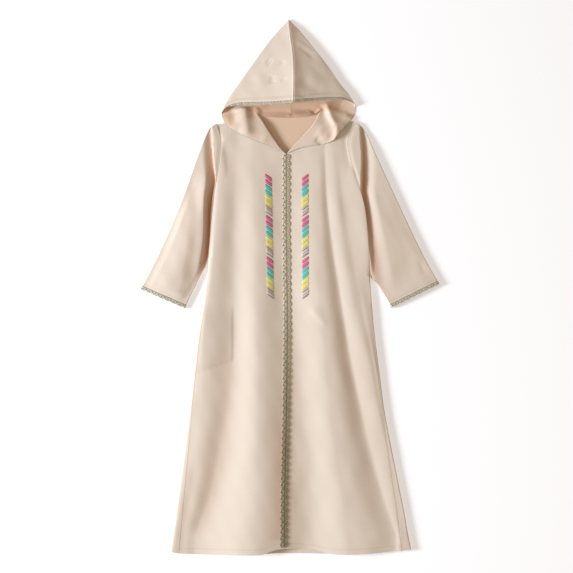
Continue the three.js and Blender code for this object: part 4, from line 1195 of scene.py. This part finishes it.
def trim(name, inner, outer, kind, node, flip, closed=False):  # a band between two lines of points
    if closed:
        inner, outer = np.concatenate([inner, inner[:1]]), np.concatenate([outer, outer[:1]])
    reach = lengths(inner)
    count = max(1, round(reach[-1] / lace["pitch"]))
    pitch = reach[-1] / count
    samples = np.linspace(0, reach[-1], count * lace["steps"] + 1)
    start, end = along(inner, reach, samples), along(outer, reach, samples)
    upright = np.cross(np.gradient(start, axis=0), end - start)
    upright /= np.linalg.norm(upright, axis=1)[:, None] + 1e-9
    if flip:
        upright = -upright
    dip = lace["dip"] * (1 - np.abs(np.sin(np.pi * samples / pitch))) / lace["width"]
    t = spread(0, 1, lace["netRows"])[None, :] * (1 - dip)[:, None]
    net = lerp(start[:, None], end[:, None], t[..., None])
    if closed:
        net = net[:-1]
    band = sew(name, np.swapaxes(net, 0, 1), nets[kind], wall=lace["net"], ring=closed, flip=flip)
    finishPiece(band, [node])
    # the motif copied along it
    motif, shades = motifs[kind]
    vertices, faces = [], []
    for k in range(count):
        place = (k + motif[0][:, 0] / lace["pitch"]) * pitch
        place = place % reach[-1] if closed else np.clip(place, 0, reach[-1])
        a, b = along(inner, reach, place), along(outer, reach, place)
        high = lace["net"] / 2 - lace["sunk"] + motif[0][:, 2] * lace["flattened"]
        point = a + (b - a) * (motif[0][:, 1] / lace["width"])[:, None]
        point += along(upright, samples, place) * high[:, None]
        point[:, 2] = np.maximum(point[:, 2], layer["floor"] / 2)
        faces += copyFaces(motif, k, turned=flip)
        vertices.append(point)
    raised = newObject(f"{name}_cords", placed(np.concatenate(vertices)), faces, cords[kind], shades * count)
    finishPiece(raised)
    return band, raised, (reach[-1] * mm, float(np.mean(np.linalg.norm(end - start, axis=1))) * mm)


for side in sides:
    turned = side == "right"
    u, onTop = sleeves[side].ring(lace["cuffPoints"])
    total = sleeves[side].length(u)
    lines = [sleeves[side].point(onTop, u, total - fromEnd) for fromEnd in (lace["width"], 0)]
    trim(f"cuff_lace_{side}", *lines, "edge", f"cuff_trim_{side}", turned, closed=True)

    hood, pairs = hoods[side], []
    for part in ("roof", "under"):
        c = hood.shares(part, 1.0, lace["hoodPoints"])
        pair = np.stack([hood.point(part, c, hood.clothEnd(part, c)), hood.point(part, c, 1.0)], 1)
        pairs.append(pair[::-1] if part == "roof" else pair[1:])
    lines = np.moveaxis(np.concatenate(pairs), 1, 0)
    trim(f"hood_lace_{side}", *lines, "edge", f"hood_trim_{side}", not turned)

    run = lace["front"]
    y = spread(run["from"], run["to"], run["points"])
    lines = []
    for away in (run["centreGap"], lace["width"]):
        x = centreAt(y) + signOf[side] * away
        lines.append(np.stack([x, y, frontHeight(x, y) + layer["wall"] / 2 + run["above"]], -1))
    kind = "open" if side == "right" else "dense"
    trim(f"placket_lace_{side}", *lines, kind, f"placket_trim_{side}", not turned)
print("lace laid")


# embroidery: slanted satin strokes in four colours, one stroke modelled and copied
embroidery = {
    "width": 17.0, "top": 915, "bottom": 618, "blocks": 12, "slant": 12.0, "crown": 1.0, "above": 0.2,
    "order": ("pink", "teal", "yellow", "mauve"),
    "pale": {"pink": "palePink", "teal": "mint", "yellow": "paleYellow", "mauve": "paleMauve"},
    # place in the block, half height and lift of each stroke
    "strokes": ((0.25, 5.0, 0.0), (0.75, 5.0, 0.0), (0.5, 1.0, 0.45), (0.985, 0.7, 0.4)),
    "thinStrokes": ((0.18, 1.9, 0.3), (0.5, 1.5, 0.3), (0.8, 1.9, 0.3), (0.5, 6.5, 0.0)),
    "thin": 2, "thinLength": 0.94,  # strokes below that half height are a little shorter
    "lines": {"right": (-47.5, -42), "left": (41, 42)},  # x at the top and the bottom
}


def inOrder(shape):  # a cut leaves points and faces in any order, and slight differences in place
    points, faces = shape
    points = points.round(5) + 0.0
    order = np.lexsort(points.T)
    place = np.argsort(order)
    turned = []
    for face in faces:
        face = [int(place[v]) for v in face]
        first = face.index(min(face))
        turned.append(tuple(face[first:] + face[:first]))
    return points[order], sorted(turned)


def modelStroke():
    bpy.ops.object.select_all(action="DESELECT")
    bpy.ops.mesh.primitive_uv_sphere_add(segments=12, ring_count=10, radius=1, rotation=(0, math.pi / 2, 0))
    bpy.ops.object.mode_set(mode="EDIT")
    bpy.ops.mesh.select_all(action="SELECT")
    bpy.ops.mesh.bisect(plane_co=(0, 0, -0.3), plane_no=(0, 0, 1), clear_inner=True, use_fill=True)
    bpy.ops.object.mode_set(mode="OBJECT")
    bpy.ops.object.transform_apply(location=True, rotation=True, scale=True)
    return inOrder(takeShape(bpy.context.view_layer.objects.active))


def strokePoints(side, place, half, lift):
    pitch = (embroidery["top"] - embroidery["bottom"]) / embroidery["blocks"]
    level = embroidery["top"] - place * pitch
    middle = lerp(*embroidery["lines"][side], place / embroidery["blocks"])
    angle = math.atan2(embroidery["slant"], embroidery["width"]) * signOf[side]
    long = math.hypot(embroidery["width"], embroidery["slant"]) / 2
    long *= 1.0 if half > embroidery["thin"] else embroidery["thinLength"]
    sx, sy, sz = stroke[0].T
    fuller = (1 - sx**6) ** 0.3 / np.sqrt(np.maximum(1 - sx**2, 1e-4))  # blunt ends
    onward, across = sx * long, sy * half * np.minimum(fuller, 4)
    x = middle + onward * math.cos(angle) - across * math.sin(angle) * 0.2
    y = level + onward * math.sin(angle) + across * math.cos(angle)
    z = frontHeight(x, y) + layer["wall"] / 2 + embroidery["above"] + lift + sz * embroidery["crown"]
    return np.stack([x, y, z], -1)


stroke = modelStroke()
names = list(silks)
for side in sides:
    vertices, faces, owners = [], [], []
    for block in range(embroidery["blocks"]):
        colour = embroidery["order"][block % len(embroidery["order"])]
        isMauve = colour == "mauve"
        for place, half, lift in embroidery["thinStrokes" if isMauve else "strokes"]:
            isThread = (lift > 0) == isMauve
            faces += copyFaces(stroke, len(vertices))
            owners += [names.index(colour if isThread else embroidery["pale"][colour])] * len(stroke[1])
            vertices.append(strokePoints(side, block + place, half, lift))
    made = newObject(f"satin_{side}", placed(np.concatenate(vertices)), faces, silks.values(), owners)
    finishPiece(made, [f"embroidery_{side}"])
print("embroidery sewn")


# stitching: one thread stitch modelled, then copied along each sewn line
stitch = {"length": 2.6, "pitch": 3.8, "radius": 0.24, "bevel": 0.12, "aim": 1.5}


def modelStitch():
    bpy.ops.object.select_all(action="DESELECT")
    bpy.ops.mesh.primitive_cylinder_add(
        vertices=6, radius=stitch["radius"], depth=stitch["length"], rotation=(0, math.pi / 2, 0))
    bpy.ops.object.mode_set(mode="EDIT")
    bpy.ops.mesh.select_all(action="SELECT")
    bpy.ops.mesh.bevel(offset=stitch["bevel"], segments=1)
    bpy.ops.object.mode_set(mode="OBJECT")
    bpy.ops.object.transform_apply(location=True, rotation=True, scale=True)
    return takeShape(bpy.context.view_layer.objects.active)


def sewLines(name, lines):
    vertices, faces = [], []
    for line in lines:
        reach = lengths(line)
        for place in np.arange(stitch["pitch"], reach[-1] - stitch["pitch"], stitch["pitch"]):
            here = along(line, reach, place)
            ahead = along(line, reach, place + stitch["aim"]) - here
            ahead /= np.linalg.norm(ahead) + 1e-9
            beside = np.cross((0, 0, 1), ahead)
            beside /= np.linalg.norm(beside) + 1e-9
            faces += copyFaces(oneStitch, len(vertices))
            vertices.append(here + oneStitch[0] @ np.array([ahead, beside, np.cross(ahead, beside)]))
    made = newObject(name, placed(np.concatenate(vertices)), faces, [seamThread])
    return finishPiece(made)


oneStitch = modelStitch()
for side in sides:
    levels = bodyLevels(side, frontCloth["rowStep"] * fineness)
    row = int(np.argmin(np.abs(levels - frontCloth["hemStitch"])))
    rows = [frontGrids[side][row, 3:-2] + (0, 0, layer["wall"] / 2 + 0.05)]
    sleeve, hood = sleeves[side], hoods[side]
    u = spread(0.02, 0.98, 60)
    way = sleeve.length(u) - lace["width"] - sleeveCloth["stitchRow"]
    rows.append(sleeve.point(True, u, way) + (0, 0, layer["wall"] / 2 - 0.2))
    c = spread(0.03, 0.985, 70)
    for away in hoodCloth["stitchRows"]:
        end = hood.clothEnd("roof", c)
        share = end - (1 - end) * away / lerp(*hoodCloth["lace"]["roof"], ease(c / 0.3))
        rows.append(hood.point("roof", c, share) + (0, 0, layer["wall"] / 2 - 0.15))
    sewLines(f"stitches_{side}", rows)
print("stitches set")

# floor, light and camera
bpy.ops.object.select_all(action="DESELECT")
bpy.ops.mesh.primitive_plane_add(size=40, location=(0, 0, -0.0004))
floor = bpy.context.view_layer.objects.active
floor.name = "floor"
floorPaint, tree, shader = newMaterial("floor paint", 0.9, 0.0, 0.1)
coordinates = tree.nodes.new("ShaderNodeTexCoord")
drift = useGroup(tree, toneDrift, coordinates.outputs["Object"], Patch=1.5, Strength=0.4)
paint = addMix(tree, drift.outputs["Fac"], (0.84, 0.86, 0.93), (0.83, 0.85, 0.92))
link(tree, paint, shader.inputs["Base Color"])
shader.inputs["Emission Color"].default_value = (1.0, 1.0, 1.0, 1)
shader.inputs["Emission Strength"].default_value = 0.34
floor.data.materials.append(floorPaint)

lights = {
    "key": {"at": (-4.25, -0.35, 1.75), "size": 1.35, "power": 290.0, "colour": (0.87, 0.935, 1.0)},
    "fill": {"at": (1.4, -1.0, 3.4), "size": 3.0, "power": 12.0, "colour": (1.0, 0.82, 0.68)},
}
for name, light in lights.items():
    data = bpy.data.lights.new(name, "AREA")
    data.shape = "DISK"
    data.size = light["size"]
    data.energy = light["power"]
    data.color = light["colour"]
    lamp = bpy.data.objects.new(name, data)
    lamp.location = light["at"]
    lamp.rotation_euler = (Vector((0, 0, 0)) - Vector(light["at"])).to_track_quat("-Z", "Y").to_euler()
    bpy.context.scene.collection.objects.link(lamp)
world = bpy.data.worlds.new("studio")
world.use_nodes = True
world.node_tree.nodes["Background"].inputs["Color"].default_value = (1.0, 0.83, 0.655, 1)
world.node_tree.nodes["Background"].inputs["Strength"].default_value = 0.372
bpy.context.scene.world = world
bpy.context.scene.view_settings.view_transform = "Standard"

view = {"height": 4.0, "acrossFrame": 1.3752, "middle": (-0.0076, 0.0059), "garment": 0.01}
cameraData = bpy.data.cameras.new("camera")
cameraData.sensor_width = 36
cameraData.lens = 36 * (view["height"] - view["garment"]) / view["acrossFrame"]
cameraData.dof.use_dof = False
camera = bpy.data.objects.new("camera", cameraData)
camera.location = (*view["middle"], view["height"])
bpy.context.scene.collection.objects.link(camera)
bpy.context.scene.camera = camera

print("scene ready")
